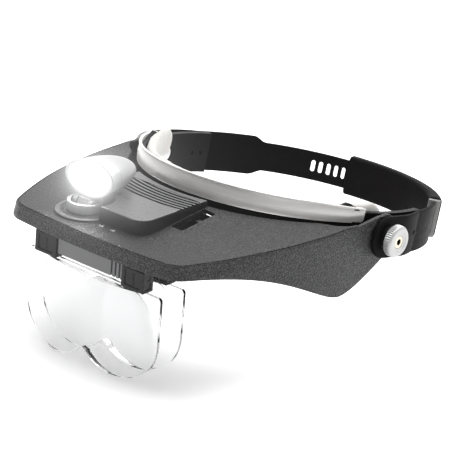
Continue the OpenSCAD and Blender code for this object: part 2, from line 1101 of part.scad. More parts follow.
module front_lens_bar() {
    color("#6a6c70")
        difference() {
            union() {
                lens_bar(hinge_y, 23);
                translate([-9, hinge_y + 2, plate_z - plate_t - 1.6])
                    cube([18, 10.5, 1.6]);
            }
            for (x = [15, 17.8, 20.6])
                translate([x, hinge_y - 4, -4])
                    cube([1.2, 8, 7]);
            for (p = screw_places)
                translate([p.x, p.y, 0])
                    cylinder(r = 1.25, h = 30);
        }
}

module rear_lens_bar() {
    color("#6a6c70")
        lens_bar(hinge_y + lens_gap, 16);
}

// Small screws through the visor's top into the front bar
module bar_screws() {
    color("#d0d1d2")
        for (p = screw_places)
            translate([p.x, p.y, 8.2]) {
                cylinder(r = 1.2, h = 4);
                translate([0, 0, plate_z - 8.2 + 0.01])
                    cylinder(r1 = 1.9, r2 = 1.5, h = 0.5);
            }
}

module front_hinge_pin() {
    color("#9a9a9c")
        rod_x(lens_pin_r, -38.6, 38.6, hinge_y, hinge_z);
}

module rear_hinge_pin() {
    color("#9a9a9c")
        rod_x(lens_pin_r, -38.6, 38.6, hinge_y + lens_gap, hinge_z);
}

// One clip: a block on the hinge pin with a slot for the lens plate's tab
module lens_clip() {
    round_r = 1.5;
    difference() {
        along_x(clip_x[0], clip_x[1])
            union() {
                translate([-clip_half_d, -clip_bottom])
                    square([2 * clip_half_d, clip_bottom + clip_top - round_r]);
                translate([round_r - clip_half_d, -clip_bottom])
                    square([2 * (clip_half_d - round_r), clip_bottom + clip_top]);
                for (s = [-1, 1])
                    translate([s * (clip_half_d - round_r), clip_top - round_r])
                        circle(round_r);
            }
        rod_x(lens_pin_r + run_gap, clip_x[0] - 1, clip_x[1] + 1);
        translate([clip_x[0] + 1.4, flange_y - 0.1, -clip_bottom - 1])
            cube([clip_x[1] - clip_x[0] - 2.8, flange_t + 0.2, 5.2]);
        translate([clip_x[0] + 3, -clip_half_d - 1, -clip_bottom - 1])
            cube([2, 1.8, clip_bottom + 4]);
    }
}

module lens_clips(y) {
    translate([0, y, hinge_z])
        both_sides()
            lens_clip();
}

// Front view of the lens plate: two lobes below a straight top edge
module lens_plan() {
    for (s = [-1, 1])
        translate([s * lobe_x, lobe_z])
            circle(lobe_r, $fn = 96);
    translate([-lobe_x - lobe_r, lobe_z])
        square([2 * (lobe_x + lobe_r), lens_top - lobe_z]);
}

module lens_plate(y) {
    cap_r = 30;
    cap_x = 17.4;
    translate([0, y, hinge_z]) {
        translate([0, flange_y + flange_t, 0])
            rotate([90, 0, 0])
                linear_extrude(flange_t)
                    lens_plan();
        for (s = [-1, 1])
            translate([s * (clip_x[0] + clip_x[1]) / 2 - 6, flange_y, lens_top - 1])
                cube([12, flange_t, 6]);
        intersection() {
            translate([0, flange_y + 1, 0])
                rotate([90, 0, 0])
                    linear_extrude(20)
                        intersection() {
                            lens_plan();
                            union()
                                for (s = [-1, 1])
                                    translate([s * cap_x, lobe_z - 1])
                                        circle(cap_r, $fn = 96);
                        }
            union()
                for (s = [-1, 1])
                    intersection() {
                        translate([s * lens_ball_x, flange_y - lens_bulge + lens_ball_r, lobe_z])
                            sphere(lens_ball_r, $fn = 96);
                        translate([s > 0 ? 0 : -60, -50, -80])
                            cube([60, 60, 80]);
                    }
        }
    }
}

module front_lens_clips() {
    color("#151516")
        lens_clips(hinge_y);
}

module rear_lens_clips() {
    color("#151516")
        lens_clips(hinge_y + lens_gap);
}

module front_lens_plate() {
    color("#dfe6ea", 0.5)
        lens_plate(hinge_y);
}

module rear_lens_plate() {
    color("#dfe6ea", 0.5)
        lens_plate(hinge_y + lens_gap);
}

// ---------- assembly ----------

brow_frame();
brow_cover();
brow_pad();
strap_left();
strap_right();
strap_rivets();
rear_sleeve();
strap_keeper();
latch_lever();
latch_pin();
pivot_bolts();
pivot_washers();
knob_left();
knob_right();
knob_inserts_left();
knob_inserts_right();
visor_shell();
lamp_housing();
battery_door();
battery_tray();
battery_cells();
battery_contacts();
switch_body();
switch_slider();
tray_screws();
stem_ring();
lamp_stem();
stem_retainer();
tilt_pin();
lamp_lug();
lamp_shell();
lamp_bezel();
lamp_reflector();
lamp_lens();
led_chip();
led_board();
front_lens_bar();
rear_lens_bar();
bar_screws();
front_hinge_pin();
rear_hinge_pin();
front_lens_clips();
rear_lens_clips();
front_lens_plate();
rear_lens_plate();
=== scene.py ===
"""Looks of the head visor magnifier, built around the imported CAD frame.

Lengths are written in millimetres and turned into metres where a mesh is made.
The frame's origin is the midpoint of the visor's tilt axis, +Z up, the visor towards -Y.
"""

import math

import bmesh
import bpy
import numpy as np
from mathutils import Matrix, Vector
from mathutils.geometry import delaunay_2d_cdt


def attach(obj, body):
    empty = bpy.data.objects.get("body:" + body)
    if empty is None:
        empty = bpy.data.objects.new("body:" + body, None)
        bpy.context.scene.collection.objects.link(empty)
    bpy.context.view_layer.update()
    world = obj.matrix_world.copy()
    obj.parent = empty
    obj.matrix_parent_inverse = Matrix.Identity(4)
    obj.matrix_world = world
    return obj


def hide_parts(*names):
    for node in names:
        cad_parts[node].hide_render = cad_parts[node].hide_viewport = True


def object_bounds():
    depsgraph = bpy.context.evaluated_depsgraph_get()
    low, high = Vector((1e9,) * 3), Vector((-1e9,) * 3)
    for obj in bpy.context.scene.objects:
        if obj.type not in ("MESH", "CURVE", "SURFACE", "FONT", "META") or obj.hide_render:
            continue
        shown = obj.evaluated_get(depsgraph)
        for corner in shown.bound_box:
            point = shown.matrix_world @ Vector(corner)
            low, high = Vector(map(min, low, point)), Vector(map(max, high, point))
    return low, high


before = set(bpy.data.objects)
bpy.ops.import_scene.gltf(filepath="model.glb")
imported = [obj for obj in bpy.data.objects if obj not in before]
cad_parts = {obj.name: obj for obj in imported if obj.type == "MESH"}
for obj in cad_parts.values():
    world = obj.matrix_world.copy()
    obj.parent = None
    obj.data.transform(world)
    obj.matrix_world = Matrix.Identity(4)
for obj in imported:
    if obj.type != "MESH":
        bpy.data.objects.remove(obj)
CAD_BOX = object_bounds()

MM = 0.001

# ---------------------------------------------------------------- measures, mm
# The same measures as the CAD's. Names ending in B are in the band's own, tilted frame.

BAND_HALF_W, BAND_HALF_L = 80.9, 92.65
BAND_TILT = math.radians(11.45)
BAND_Y, BAND_Z = 17.7, 5.9
END_R = 74.0
END_Y = BAND_HALF_L - END_R
SIDE_R = (END_R**2 - END_Y**2 - BAND_HALF_W**2) / (2 * (END_R - BAND_HALF_W))
SIDE_OFF = SIDE_R - BAND_HALF_W
PIVOT_YB, PIVOT_ZB = -16.2, -9.3
STRAP_H, STRAP_NARROW = 23.6, 17.2

PLATE_Z, PLATE_T = 12.0, 2.2
FRONT_HALF_W, FRONT_Y, FRONT_BOW = 57.8, 144.0, 3.6
CORNER_R, EAR_R = 13.0, 12.5
BOLT_HOLE_R = 2.1
SIDE_ARC_Y = -30.0
ARM_IN, ARM_OUT = 81.3, 83.6
WALL_T = ARM_OUT - ARM_IN
SKIRT_Z = 4.0
GAP_R, GAP_Y = 77.5, -1.3
POCKET = (22.3, 30.3, -107, -80)
DOOR_T = 1.4

STEM = (-24.0, -124.0)
TURRET_R = 16.0
HOUSING_Z = 21.0
LAMP_Z, LAMP_TILT_Z = 30.3, 16.4
LAMP_BACK, STEM_TOP = 4.7, 18.9
LAMP_W, LAMP_H, LAMP_LEN = 15.4, 9.4, 30.0

HINGE_Y, HINGE_Z, LENS_GAP = -141.0, -1.0, 18.0


# ---------------------------------------------------------------- mesh helpers


def new_object(name, mesh):
    obj = bpy.data.objects.new(name, mesh)
    bpy.context.scene.collection.objects.link(obj)
    return obj


def from_points(name, points, faces):
    """A mesh object from points in millimetres."""
    mesh = bpy.data.meshes.new(name)
    mesh.from_pydata([tuple(float(c) * MM for c in p) for p in points], [], faces)
    mesh.validate()
    return new_object(name, mesh)


def with_bmesh(obj, work):
    bm = bmesh.new()
    bm.from_mesh(obj.data)
    work(bm)
    bm.to_mesh(obj.data)
    bm.free()
    return obj


def fix_normals(obj):
    return with_bmesh(obj, lambda bm: bmesh.ops.recalc_face_normals(bm, faces=bm.faces))


def shade(obj, angle=32):
    """Smooth shading that stays crisp at edges sharper than the angle."""
    mesh = obj.data
    mesh.shade_smooth()
    mesh.set_sharp_from_angle(angle=math.radians(angle))
    even = obj.modifiers.new("even_normals", "WEIGHTED_NORMAL")
    even.keep_sharp = True
    even.weight = 60
    return obj


def baked(obj):
    """The object with its modifiers applied."""
    graph = bpy.context.evaluated_depsgraph_get()
    mesh = bpy.data.meshes.new_from_object(obj.evaluated_get(graph))
    obj.modifiers.clear()
    obj.data = mesh
    return obj


def bevelled(obj, width, segments=2):
    """The object with its sharper edges rounded."""
    bevel = obj.modifiers.new("soft_edges", "BEVEL")
    bevel.width = width * MM
    bevel.segments = segments
    bevel.limit_method = "ANGLE"
    bevel.angle_limit = math.radians(30)
    bevel.use_clamp_overlap = True
    bevel.harden_normals = False
    return baked(obj)


def cut(obj, *cutters, join=False):
    """Takes the cutters out of the object, or adds them to it, and removes them."""
    for cutter in cutters:
        boolean = obj.modifiers.new("cut", "BOOLEAN")
        boolean.operation = "UNION" if join else "DIFFERENCE"
        boolean.solver = "EXACT"
        boolean.object = cutter
        baked(obj)
        bpy.data.objects.remove(cutter)
    return obj


def joined(name, objects):
    """One object from several, their meshes side by side."""
    bm = bmesh.new()
    for obj in objects:
        obj.data.transform(obj.matrix_world)
        bm.from_mesh(obj.data)
        bpy.data.objects.remove(obj)
    mesh = bpy.data.meshes.new(name)
    bm.to_mesh(mesh)
    bm.free()
    return new_object(name, mesh)


def moved(obj, change):
    """Each vertex put through change(points in mm) -> points in mm."""
    mesh = obj.data
    co = np.zeros(len(mesh.vertices) * 3)
    mesh.vertices.foreach_get("co", co)
    co = change(co.reshape(-1, 3) / MM) * MM
    mesh.vertices.foreach_set("co", co.ravel())
    mesh.update()
    return obj


def swapped(obj, order, signs=(1, 1, 1)):
    """The object's coordinates taken in another order, such as (0, 2, 1), each with its sign."""
    return moved(obj, lambda p: p[:, order] * np.array(signs))


def slab(name, loops, z0, z1, bevel=0.4, rounds=2):
    """A flat plate with holes: the first loop is its outline. Edges are rounded by bevel."""
    curve = bpy.data.curves.new(name, "CURVE")
    curve.dimensions = "2D"
    curve.fill_mode = "BOTH"
    curve.extrude = ((z1 - z0) / 2 - bevel) * MM
    curve.bevel_depth = bevel * MM
    curve.bevel_resolution = rounds - 1
    curve.offset = -bevel * MM
    for loop in loops:
        spline = curve.splines.new("POLY")
        spline.points.add(len(loop) - 1)
        for point, (x, y) in zip(spline.points, loop):
            point.co = (x * MM, y * MM, 0, 1)
        spline.use_cyclic_u = True
    made = new_object(name + "_curve", curve)
    graph = bpy.context.evaluated_depsgraph_get()
    mesh = bpy.data.meshes.new_from_object(made.evaluated_get(graph))
    bpy.data.objects.remove(made)
    obj = new_object(name, mesh)
    middle = (z0 + z1) / 2 * MM

    def tidy(bm):
        bmesh.ops.remove_doubles(bm, verts=bm.verts, dist=2e-6)
        bmesh.ops.translate(bm, verts=bm.verts, vec=(0, 0, middle))
        bmesh.ops.recalc_face_normals(bm, faces=bm.faces)

    return with_bmesh(obj, tidy)


def sliced(obj, axis, step):
    """Extra edges across one axis, so that the plate can bend smoothly."""

    def work(bm):
        lo = min(v.co[axis] for v in bm.verts)
        hi = max(v.co[axis] for v in bm.verts)
        normal = Vector((0, 0, 0))
        normal[axis] = 1
        for i in range(1, int((hi - lo) / (step * MM))):
            place = Vector((0, 0, 0))
            place[axis] = lo + i * step * MM
            geometry = bm.verts[:] + bm.edges[:] + bm.faces[:]
            bmesh.ops.bisect_plane(bm, geom=geometry, dist=1e-7, plane_co=place, plane_no=normal)

    return with_bmesh(obj, work)


def loft(name, rings, closed_path=False):
    """A skin over rings of equally many points, with flat ends."""
    count, n = len(rings), len(rings[0])
    points = [p for ring in rings for p in ring]
    faces = []
    for i in range(count if closed_path else count - 1):
        a, b = i * n, (i + 1) % count * n
        for j in range(n):
            k = (j + 1) % n
            faces.append((a + j, a + k, b + k, b + j))
    if not closed_path:
        faces.append(tuple(range(n - 1, -1, -1)))
        faces.append(tuple((count - 1) * n + j for j in range(n)))
    return fix_normals(from_points(name, points, faces))


def turned(name, profile, place, segments=64, closed=True):
    """A turned part. The profile holds (radius, height) pairs, and place maps its axis to the row frame."""
    rings = []
    for r, h in profile:
        ring = []
        for i in range(segments):
            a = 2 * math.pi * i / segments
            ring.append(place(r * math.cos(a), r * math.sin(a), h))
        rings.append(ring)
    return loft(name, rings, closed_path=closed)


def rounded_box(w0, w1, h0, h1, r, n=4):
    """Corner-rounded rectangle as a loop of points."""
    loop = []
    corners = [(w1 - r, h1 - r, 0), (w0 + r, h1 - r, 90), (w0 + r, h0 + r, 180), (w1 - r, h0 + r, 270)]
    for cx, cy, start in corners:
        for i in range(n + 1):
            a = math.radians(start + 90 * i / n)
            loop.append((cx + r * math.cos(a), cy + r * math.sin(a)))
    return loop


def circle_loop(cx, cy, r, n=32):
    return [(cx + r * math.cos(2 * math.pi * i / n), cy + r * math.sin(2 * math.pi * i / n)) for i in range(n)]


def arc(cx, cy, r, a0, a1, n=12):
    """Points on an arc, angles in degrees."""
    turns = [math.radians(a0 + (a1 - a0) * i / n) for i in range(n + 1)]
    return [(cx + r * math.cos(a), cy + r * math.sin(a)) for a in turns]


def bezier(p0, p1, p2, p3, n=16):
    pts = []
    for i in range(n + 1):
        t = i / n
        s = 1 - t
        weights = (s**3, 3 * s * s * t, 3 * s * t * t, t**3)
        pts.append(tuple(sum(w * c for w, c in zip(weights, axis)) for axis in zip(p0, p1, p2, p3)))
    return pts


def smooth(t):
    t = np.clip(t, 0, 1)
    return t * t * (3 - 2 * t)


class Path:
    """A line in plan that flat plates are bent along."""

    def __init__(self, points, outward=1):
        self.p = np.array(points, float)
        step = np.linalg.norm(np.diff(self.p, axis=0), axis=1)
        self.s = np.concatenate([[0], np.cumsum(step)])
        t = np.gradient(self.p, axis=0)
        t /= np.linalg.norm(t, axis=1)[:, None]
        self.n = np.stack([t[:, 1], -t[:, 0]], 1) * outward

    def __call__(self, s, d):
        x = np.interp(s, self.s, self.p[:, 0])
        y = np.interp(s, self.s, self.p[:, 1])
        nx = np.interp(s, self.s, self.n[:, 0])
        ny = np.interp(s, self.s, self.n[:, 1])
        size = np.hypot(nx, ny)
        return x + nx / size * d, y + ny / size * d

    def s_at(self, x, y):
        """The length along the path at its point nearest to (x, y)."""
        return self.s[np.argmin(np.hypot(self.p[:, 0] - x, self.p[:, 1] - y))]


# ---------------------------------------------------------------- frames of reference


def band_to_row(p):
    """Band frame to row frame, for an array of points in mm."""
    p = np.asarray(p, float).reshape(-1, 3)
    c, s = math.cos(BAND_TILT), math.sin(BAND_TILT)
    return np.stack([p[:, 0], p[:, 1] * c + p[:, 2] * s + BAND_Y, -p[:, 1] * s + p[:, 2] * c + BAND_Z], 1)


def row_to_band(p):
    """The way back from band_to_row."""
    c, s = math.cos(BAND_TILT), math.sin(BAND_TILT)
    y, z = p[:, 1] - BAND_Y, p[:, 2] - BAND_Z
    return np.stack([p[:, 0], y * c - z * s, y * s + z * c], 1)


def lamp_to_row(x, y, z):
    """The lamp's own frame, on the stem's axis, to the row frame."""
    return (STEM[0] + x, STEM[1] + y, z)


def band_point(theta, d):
    """The band's outline grown by d where its outward normal has angle theta, 0 at the front."""
    nx, ny = math.sin(theta), -math.cos(theta)
    turn = math.atan2(END_Y, SIDE_OFF)
    if abs(ny) < math.sin(turn):
        return (-math.copysign(SIDE_OFF, nx) + (SIDE_R + d) * nx, (SIDE_R + d) * ny)
    return ((END_R + d) * nx, math.copysign(END_Y, ny) + (END_R + d) * ny)


def band_angle(theta, d=0):
    """The sector angle that the CAD uses, for a normal angle."""
    x, y = band_point(theta, d)
    return math.degrees(math.atan2(x / BAND_HALF_W, -y / BAND_HALF_L))


def band_path(a0, a1, d):
    """The band's outline between two sector angles, in degrees, as a Path."""
    thetas = np.linspace(math.radians(-215), math.radians(215), 3000)
    points = []
    for t in thetas:
        a = band_angle(t, d)
        if t > math.pi / 2 and a < 0:
            a += 360
        if t < -math.pi / 2 and a > 0:
            a -= 360
        if a0 <= a <= a1:
            points.append(band_point(t, d))
    return Path(points)


def bend_to_band(obj, path, lift=None):
    """A flat plate (length, height, thickness) onto the band. lift adds to the offset by (s, z)."""

    def change(p):
        d = p[:, 2] if lift is None else p[:, 2] + lift(p[:, 0], p[:, 1])
        x, y = path(p[:, 0], d)
        return band_to_row(np.stack([x, y, p[:, 1]], 1))

    return fix_normals(moved(obj, change))


# ---------------------------------------------------------------- materials


class Nodes:
    """A material's node tree, with short calls for what the finishes share."""

    def __init__(self, name):
        self.material = bpy.data.materials.new(name)
        self.material.use_nodes = True
        self.tree = self.material.node_tree
        self.shader = self.tree.nodes["Principled BSDF"]
        self.place = self.add("ShaderNodeTexCoord").outputs["Object"]

    def add(self, kind, **settings):
        node = self.tree.nodes.new(kind)
        for key, value in settings.items():
            setattr(node, key, value)
        return node

    def link(self, out, into):
        self.tree.links.new(out, into)
        return self

    def feed(self, socket, out):
        return self.link(out, self.shader.inputs[socket])

    def value(self, socket, value):
        self.shader.inputs[socket].default_value = value
        return self

    def noise(self, size, detail=3.0, roughness=0.5, stretch=None):
        """Noise whose blobs are about size mm across."""
        node = self.add("ShaderNodeTexNoise")
        node.inputs["Scale"].default_value = 1 / (size * MM)
        node.inputs["Detail"].default_value = detail
        node.inputs["Roughness"].default_value = roughness
        source = self.place
        if stretch:
            mapping = self.add("ShaderNodeMapping")
            mapping.inputs["Scale"].default_value = stretch
            self.link(self.place, mapping.inputs["Vector"])
            source = mapping.outputs["Vector"]
        self.link(source, node.inputs["Vector"])
        return node.outputs["Fac"]

    def cells(self, size, feature="F1"):
        node = self.add("ShaderNodeTexVoronoi", feature=feature)
        node.inputs["Scale"].default_value = 1 / (size * MM)
        self.link(self.place, node.inputs["Vector"])
        return node.outputs["Distance"]

    def spread(self, source, low, high, to_low=0.0, to_high=1.0):
        node = self.add("ShaderNodeMapRange")
        for key, v in (("From Min", low), ("From Max", high), ("To Min", to_low), ("To Max", to_high)):
            node.inputs[key].default_value = v
        self.link(source, node.inputs["Value"])
        return node.outputs["Result"]

    def blend(self, factor, a, b):
        """Colour a to colour b by factor. Each may be a socket or a colour."""
        node = self.add("ShaderNodeMix", data_type="RGBA")
        self.link(factor, node.inputs["Factor"])
        for name, v in ((6, a), (7, b)):
            if isinstance(v, tuple):
                node.inputs[name].default_value = (*v, 1)
            else:
                self.link(v, node.inputs[name])
        return node.outputs[2]

    def sum(self, a, b, operation="ADD"):
        node = self.add("ShaderNodeMath", operation=operation)
        for i, v in enumerate((a, b)):
            if isinstance(v, (int, float)):
                node.inputs[i].default_value = v
            else:
                self.link(v, node.inputs[i])
        return node.outputs[0]

    def worn_edges(self, radius=0.35):
        """1 along edges, 0 on faces."""
        soft = self.add("ShaderNodeBevel", samples=4)
        soft.inputs["Radius"].default_value = radius * MM
        plain = self.add("ShaderNodeNewGeometry").outputs["Normal"]
        dot = self.add("ShaderNodeVectorMath", operation="DOT_PRODUCT")
        self.link(soft.outputs["Normal"], dot.inputs[0])
        self.link(plain, dot.inputs[1])
        return self.spread(dot.outputs["Value"], 0.99, 0.85)

    def relief(self, height, depth, strength=1.0):
        bump = self.add("ShaderNodeBump")
        bump.inputs["Strength"].default_value = strength
        bump.inputs["Distance"].default_value = depth * MM
        self.link(height, bump.inputs["Height"])
        self.link(bump.outputs["Normal"], self.shader.inputs["Normal"])


def scaled(colour, factor, lift=0.0):
    """The colour times a factor plus a lift, no channel above 1."""
    return tuple(min(1.0, c * factor + lift) for c in colour)


def plastic(name, colour, rough, depth, fleck, grain=0.5, wear=0.2, shine=0.5):
    """Moulded plastic: fine grain, soft mottling and slightly polished edges."""
    n = Nodes(name)
    grain_map = n.noise(grain, 4.0, 0.6)
    broad = n.noise(14.0, 2.0)
    light = scaled(colour, 1 + fleck, 0.004)
    dark = scaled(colour, 1 - fleck)
    body = n.blend(n.spread(grain_map, 0.38, 0.62), dark, light)
    shift = n.blend(n.spread(broad, 0.3, 0.7, 0.0, 0.25), body, scaled(colour, 0.8))
    edge = n.sum(n.worn_edges(), n.spread(n.noise(1.6, 4.0), 0.35, 0.65, 0.2, 1.0), "MULTIPLY")
    edge = n.sum(edge, wear, "MULTIPLY")
    final = n.blend(edge, shift, scaled(colour, 1.6, 0.03))
    n.feed("Base Color", final)
    n.feed("Roughness", n.spread(n.noise(3.0, 4.0), 0.3, 0.7, max(0.03, rough - 0.05), rough + 0.06))
    n.relief(grain_map, depth)
    n.value("Specular IOR Level", shine)
    return n.material


def textured_black(name):
    """The visor's spark-eroded black: close fine pebbles, with light specks painted on as glints."""
    n = Nodes(name)
    pebbles = n.cells(1.05)
    fine = n.noise(0.6, 2.0, 0.6)
    height = n.sum(n.spread(pebbles, 0.0, 0.8, 1.0, 0.0), fine)
    painted_glints = n.spread(n.noise(0.75, 2.0, 0.5), 0.44, 0.66)
    broad = n.spread(n.noise(30.0, 2.0), 0.35, 0.65, 0.0, 0.5)
    base = n.blend(broad, (0.007, 0.007, 0.0075), (0.005, 0.005, 0.0055))
    # Painted glints: random light specks, about ten times the black's brightness, stand in for light caught by the
    # grain.
    body = n.blend(painted_glints, base, (0.075, 0.075, 0.078))
    worn = n.sum(n.worn_edges(0.5), n.spread(n.noise(2.2, 4.0), 0.4, 0.7, 0.1, 0.5), "MULTIPLY")
    n.feed("Base Color", n.blend(worn, body, (0.05, 0.05, 0.052)))
    n.feed("Roughness", n.spread(fine, 0.3, 0.7, 0.36, 0.5))
    n.relief(height, 0.34, 0.95)
    n.value("Specular IOR Level", 0.32)
    return n.material


def metal(name, colour, rough, grain=0.4, stretch=None, depth=0.004, dirt=0.3):
    """Plated or bare metal with fine tool marks and dull patches."""
    n = Nodes(name)
    marks = n.noise(grain, 5.0, 0.65, stretch)
    patches = n.noise(2.5, 4.0, 0.6)
    dull = scaled(colour, 0.72)
    n.feed("Base Color", n.blend(n.spread(patches, 0.4, 0.75, 0.0, dirt), colour, dull))
    n.feed("Roughness", n.spread(patches, 0.3, 0.7, rough * 0.8, rough * 1.3))
    n.relief(marks, depth, 0.6)
    n.value("Metallic", 1.0)
    return n.material


def satin_silver(name, colour=(0.9, 0.885, 0.87), metallic=0.35, rough=0.34):
    """Silver paint: metal flakes too fine to see one by one, a broad soft sheen and rubbed edges."""
    n = Nodes(name)
    flake = n.noise(0.22, 2.0, 0.5)
    cloud = n.noise(22.0, 3.0)
    tone = n.blend(n.spread(flake, 0.35, 0.65), scaled(colour, 0.93), scaled(colour, 1.05))
    tone = n.blend(n.spread(cloud, 0.35, 0.7, 0.0, 0.3), tone, scaled(colour, 0.9))
    edge = n.sum(n.worn_edges(0.3), n.spread(n.noise(1.2, 4.0), 0.45, 0.7, 0.0, 0.5), "MULTIPLY")
    n.feed("Base Color", n.blend(edge, tone, (0.72, 0.72, 0.7)))
    n.feed("Roughness", n.spread(n.noise(2.0, 4.0), 0.3, 0.7, rough - 0.04, rough + 0.05))
    n.relief(flake, 0.004, 0.5)
    n.value("Metallic", metallic)
    return n.material


def foam(name):
    """Closed-cell foam with a soft skin: small pores, faint creases, slight yellowing."""
    n = Nodes(name)
    pores = n.cells(1.1)
    skin = n.noise(0.7, 4.0, 0.6)
    creases = n.noise(6.0, 3.0, 0.6, (1.0, 1.0, 3.0))
    tone = n.blend(n.spread(pores, 0.0, 0.35), (0.42, 0.405, 0.37), (0.56, 0.55, 0.525))
    tone = n.blend(n.spread(creases, 0.4, 0.75, 0.0, 0.35), tone, (0.5, 0.48, 0.43))
    n.feed("Base Color", tone)
    n.feed("Roughness", n.spread(skin, 0.3, 0.7, 0.82, 0.95))
    height = n.sum(n.spread(pores, 0.0, 0.4), n.sum(creases, 1.5, "MULTIPLY"))
    n.relief(height, 0.16, 0.8)
    n.value("Sheen Weight", 0.25).value("Sheen Roughness", 0.6)
    n.value("Subsurface Weight", 0.08).value("Subsurface Scale", 0.002)
    return n.material


def clear(name, tint, rough, scratch, ior):
    """Clear polished acrylic with hairline scratches and faint smudges."""
    n = Nodes(name)
    hair = n.noise(0.5, 3.0, 0.5, (1.0, 1.0, 0.06))
    smudge = n.noise(9.0, 4.0, 0.6)
    n.feed("Roughness", n.spread(smudge, 0.5, 0.8, rough, rough + scratch))
    n.feed("Base Color", n.blend(n.spread(smudge, 0.55, 0.85, 0.0, 0.3), tint, scaled(tint, 0.97)))
    n.relief(hair, 0.002, 0.15)
    n.value("Transmission Weight", 1.0).value("IOR", ior)
    return n.material


def glowing(name, colour, strength):
    """The light source: a phosphor face with a slightly uneven glow."""
    n = Nodes(name)
    grain = n.noise(0.4, 3.0)
    tone = n.blend(n.spread(grain, 0.3, 0.7), colour, scaled(colour, 1.04))
    n.feed("Base Color", tone)
    n.feed("Emission Color", tone)
    n.feed("Roughness", n.spread(grain, 0.3, 0.7, 0.4, 0.5))
    n.value("Emission Strength", strength)
    return n.material


def painted_glow_mirror(name):
    """The bowl round the light source, its reflected light painted on as a glow of its own."""
    n = Nodes(name)
    swirl = n.noise(3.0, 2.0)
    n.feed("Base Color", n.blend(n.spread(swirl, 0.35, 0.65), (0.9, 0.9, 0.91), (0.96, 0.96, 0.97)))
    n.feed("Roughness", n.spread(swirl, 0.3, 0.7, 0.12, 0.22))
    # Painted glow: the emission stands in for the light source's light reflected by the bowl.
    uneven = n.spread(n.noise(4.0, 3.0), 0.35, 0.65)
    n.feed("Emission Color", n.blend(uneven, (0.75, 0.75, 0.76), (1.0, 1.0, 1.0)))
    n.value("Metallic", 1.0).value("Emission Strength", 13.0)
    return n.material


def board_green(name):
    n = Nodes(name)
    tracks = n.cells(1.4, "DISTANCE_TO_EDGE")
    tone = n.blend(n.spread(tracks, 0.02, 0.1), (0.10, 0.32, 0.17), (0.03, 0.14, 0.07))
    n.feed("Base Color", tone)
    n.feed("Roughness", n.spread(n.noise(1.0), 0.3, 0.7, 0.3, 0.45))
    n.relief(tracks, 0.03, 0.5)
    return n.material


def cell_wrap(name):
    """A plain sleeved cell: one colour with a paler band at one end, no print."""
    n = Nodes(name)
    split = n.add("ShaderNodeSeparateXYZ")
    n.link(n.place, split.inputs[0])
    band = n.spread(split.outputs["X"], -0.0185, -0.0183, 1.0, 0.0)
    fade = n.noise(6.0, 3.0)
    tone = n.blend(band, (0.10, 0.20, 0.36), (0.55, 0.56, 0.58))
    tone = n.blend(n.spread(fade, 0.4, 0.7, 0.0, 0.2), tone, (0.06, 0.12, 0.24))
    n.feed("Base Color", tone)
    n.feed("Roughness", n.spread(n.noise(2.0), 0.3, 0.7, 0.25, 0.4))
    n.relief(n.noise(1.5, 3.0), 0.01, 0.4)
    n.value("Coat Weight", 0.3)
    return n.material


M = {
    "visor": textured_black("visor_black"),
    "strap": plastic(
        "band_black", (0.009, 0.0082, 0.0085),
        rough=0.4, grain=0.35, depth=0.006, fleck=0.2, wear=0.05, shine=0.01,
    ),
    "frame": plastic(
        "frame_black", (0.003, 0.003, 0.0032),
        rough=0.42, grain=0.4, depth=0.012, fleck=0.2, wear=0.08, shine=0.12,
    ),
    "silver": satin_silver("brow_silver"),
    "foam": foam("pad_foam"),
    "grey": plastic("latch_grey", (0.22, 0.22, 0.216), rough=0.42, depth=0.01, fleck=0.06, wear=0.3),
    "housing": plastic("housing_grey", (0.13, 0.13, 0.133), rough=0.3, grain=0.45, depth=0.01, fleck=0.1, wear=0.1),
    # Painted shade: a copy of the housing's grey plastic made about ten times darker, put on the housing's side
    # walls and in the door's grooves.
    "wall": plastic(
        "housing_wall", (0.012, 0.012, 0.013), rough=0.38, grain=0.7, depth=0.06, fleck=0.6, shine=0.4
    ),
    "slider": metal("slider_steel", (0.2, 0.2, 0.205), rough=0.3),
    "stem": plastic("stem_grey", (0.4, 0.4, 0.403), rough=0.36, grain=0.45, depth=0.01, fleck=0.2),
    "bar": plastic("bar_grey", (0.13, 0.131, 0.135), rough=0.36, depth=0.008, fleck=0.1, wear=0.15, shine=0.4),
    "clip": plastic(
        "clip_black", (0.004, 0.004, 0.0045), rough=0.26, grain=0.4, depth=0.004, fleck=0.2, wear=0.1, shine=0.18
    ),
    "lamp": satin_silver("lamp_silver", (0.4, 0.4, 0.405), metallic=0.25),
    "steel": metal("pin_steel", (0.56, 0.56, 0.57), rough=0.28),
    "rivet": metal("rivet_steel", (0.012, 0.012, 0.0125), rough=0.4),
    "nickel": satin_silver("knob_nickel", (0.5, 0.505, 0.5)),
    "brass": metal("knob_brass", (0.62, 0.57, 0.46), rough=0.3),
    "contact": metal("contact_nickel", (0.68, 0.67, 0.64), rough=0.25),
    "mirror": painted_glow_mirror("reflector"),
    "window": clear("lamp_clear", (0.98, 0.99, 1.0), rough=0.02, scratch=0.02, ior=1.2),
    "lens": clear("lens_acrylic", (0.925, 0.927, 0.93), rough=0.01, scratch=0.03, ior=1.24),
    "led": glowing("led_yellow", (1.0, 0.975, 0.9), strength=160.0),
    "board": board_green("board_green"),
    "cell": cell_wrap("cell_wrap"),
}


def piece(obj, name, material, slot, body, *nodes):
    """Names a finished piece, gives it its finish and body, and stands it in for its CAD nodes."""
    obj.name = name
    obj.data.name = name
    obj.data.materials.clear()
    obj.data.materials.append(M[material])
    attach(obj, body)
    if nodes:
        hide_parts(*nodes)
    return obj


def carried(node, width, segments=2, change=None):
    """A copy of a CAD node's shape with softened edges, its points first put through change."""
    obj = new_object(node + "_soft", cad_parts[node].data.copy())
    obj.data.materials.clear()

    def work(bm):
        bmesh.ops.remove_doubles(bm, verts=bm.verts, dist=2e-6)
        bmesh.ops.dissolve_limit(
            bm, angle_limit=math.radians(0.6), verts=bm.verts, edges=bm.edges, use_dissolve_boundaries=False
        )

    with_bmesh(obj, work)
    if change:
        moved(obj, change)
    return shade(bevelled(obj, width, segments))


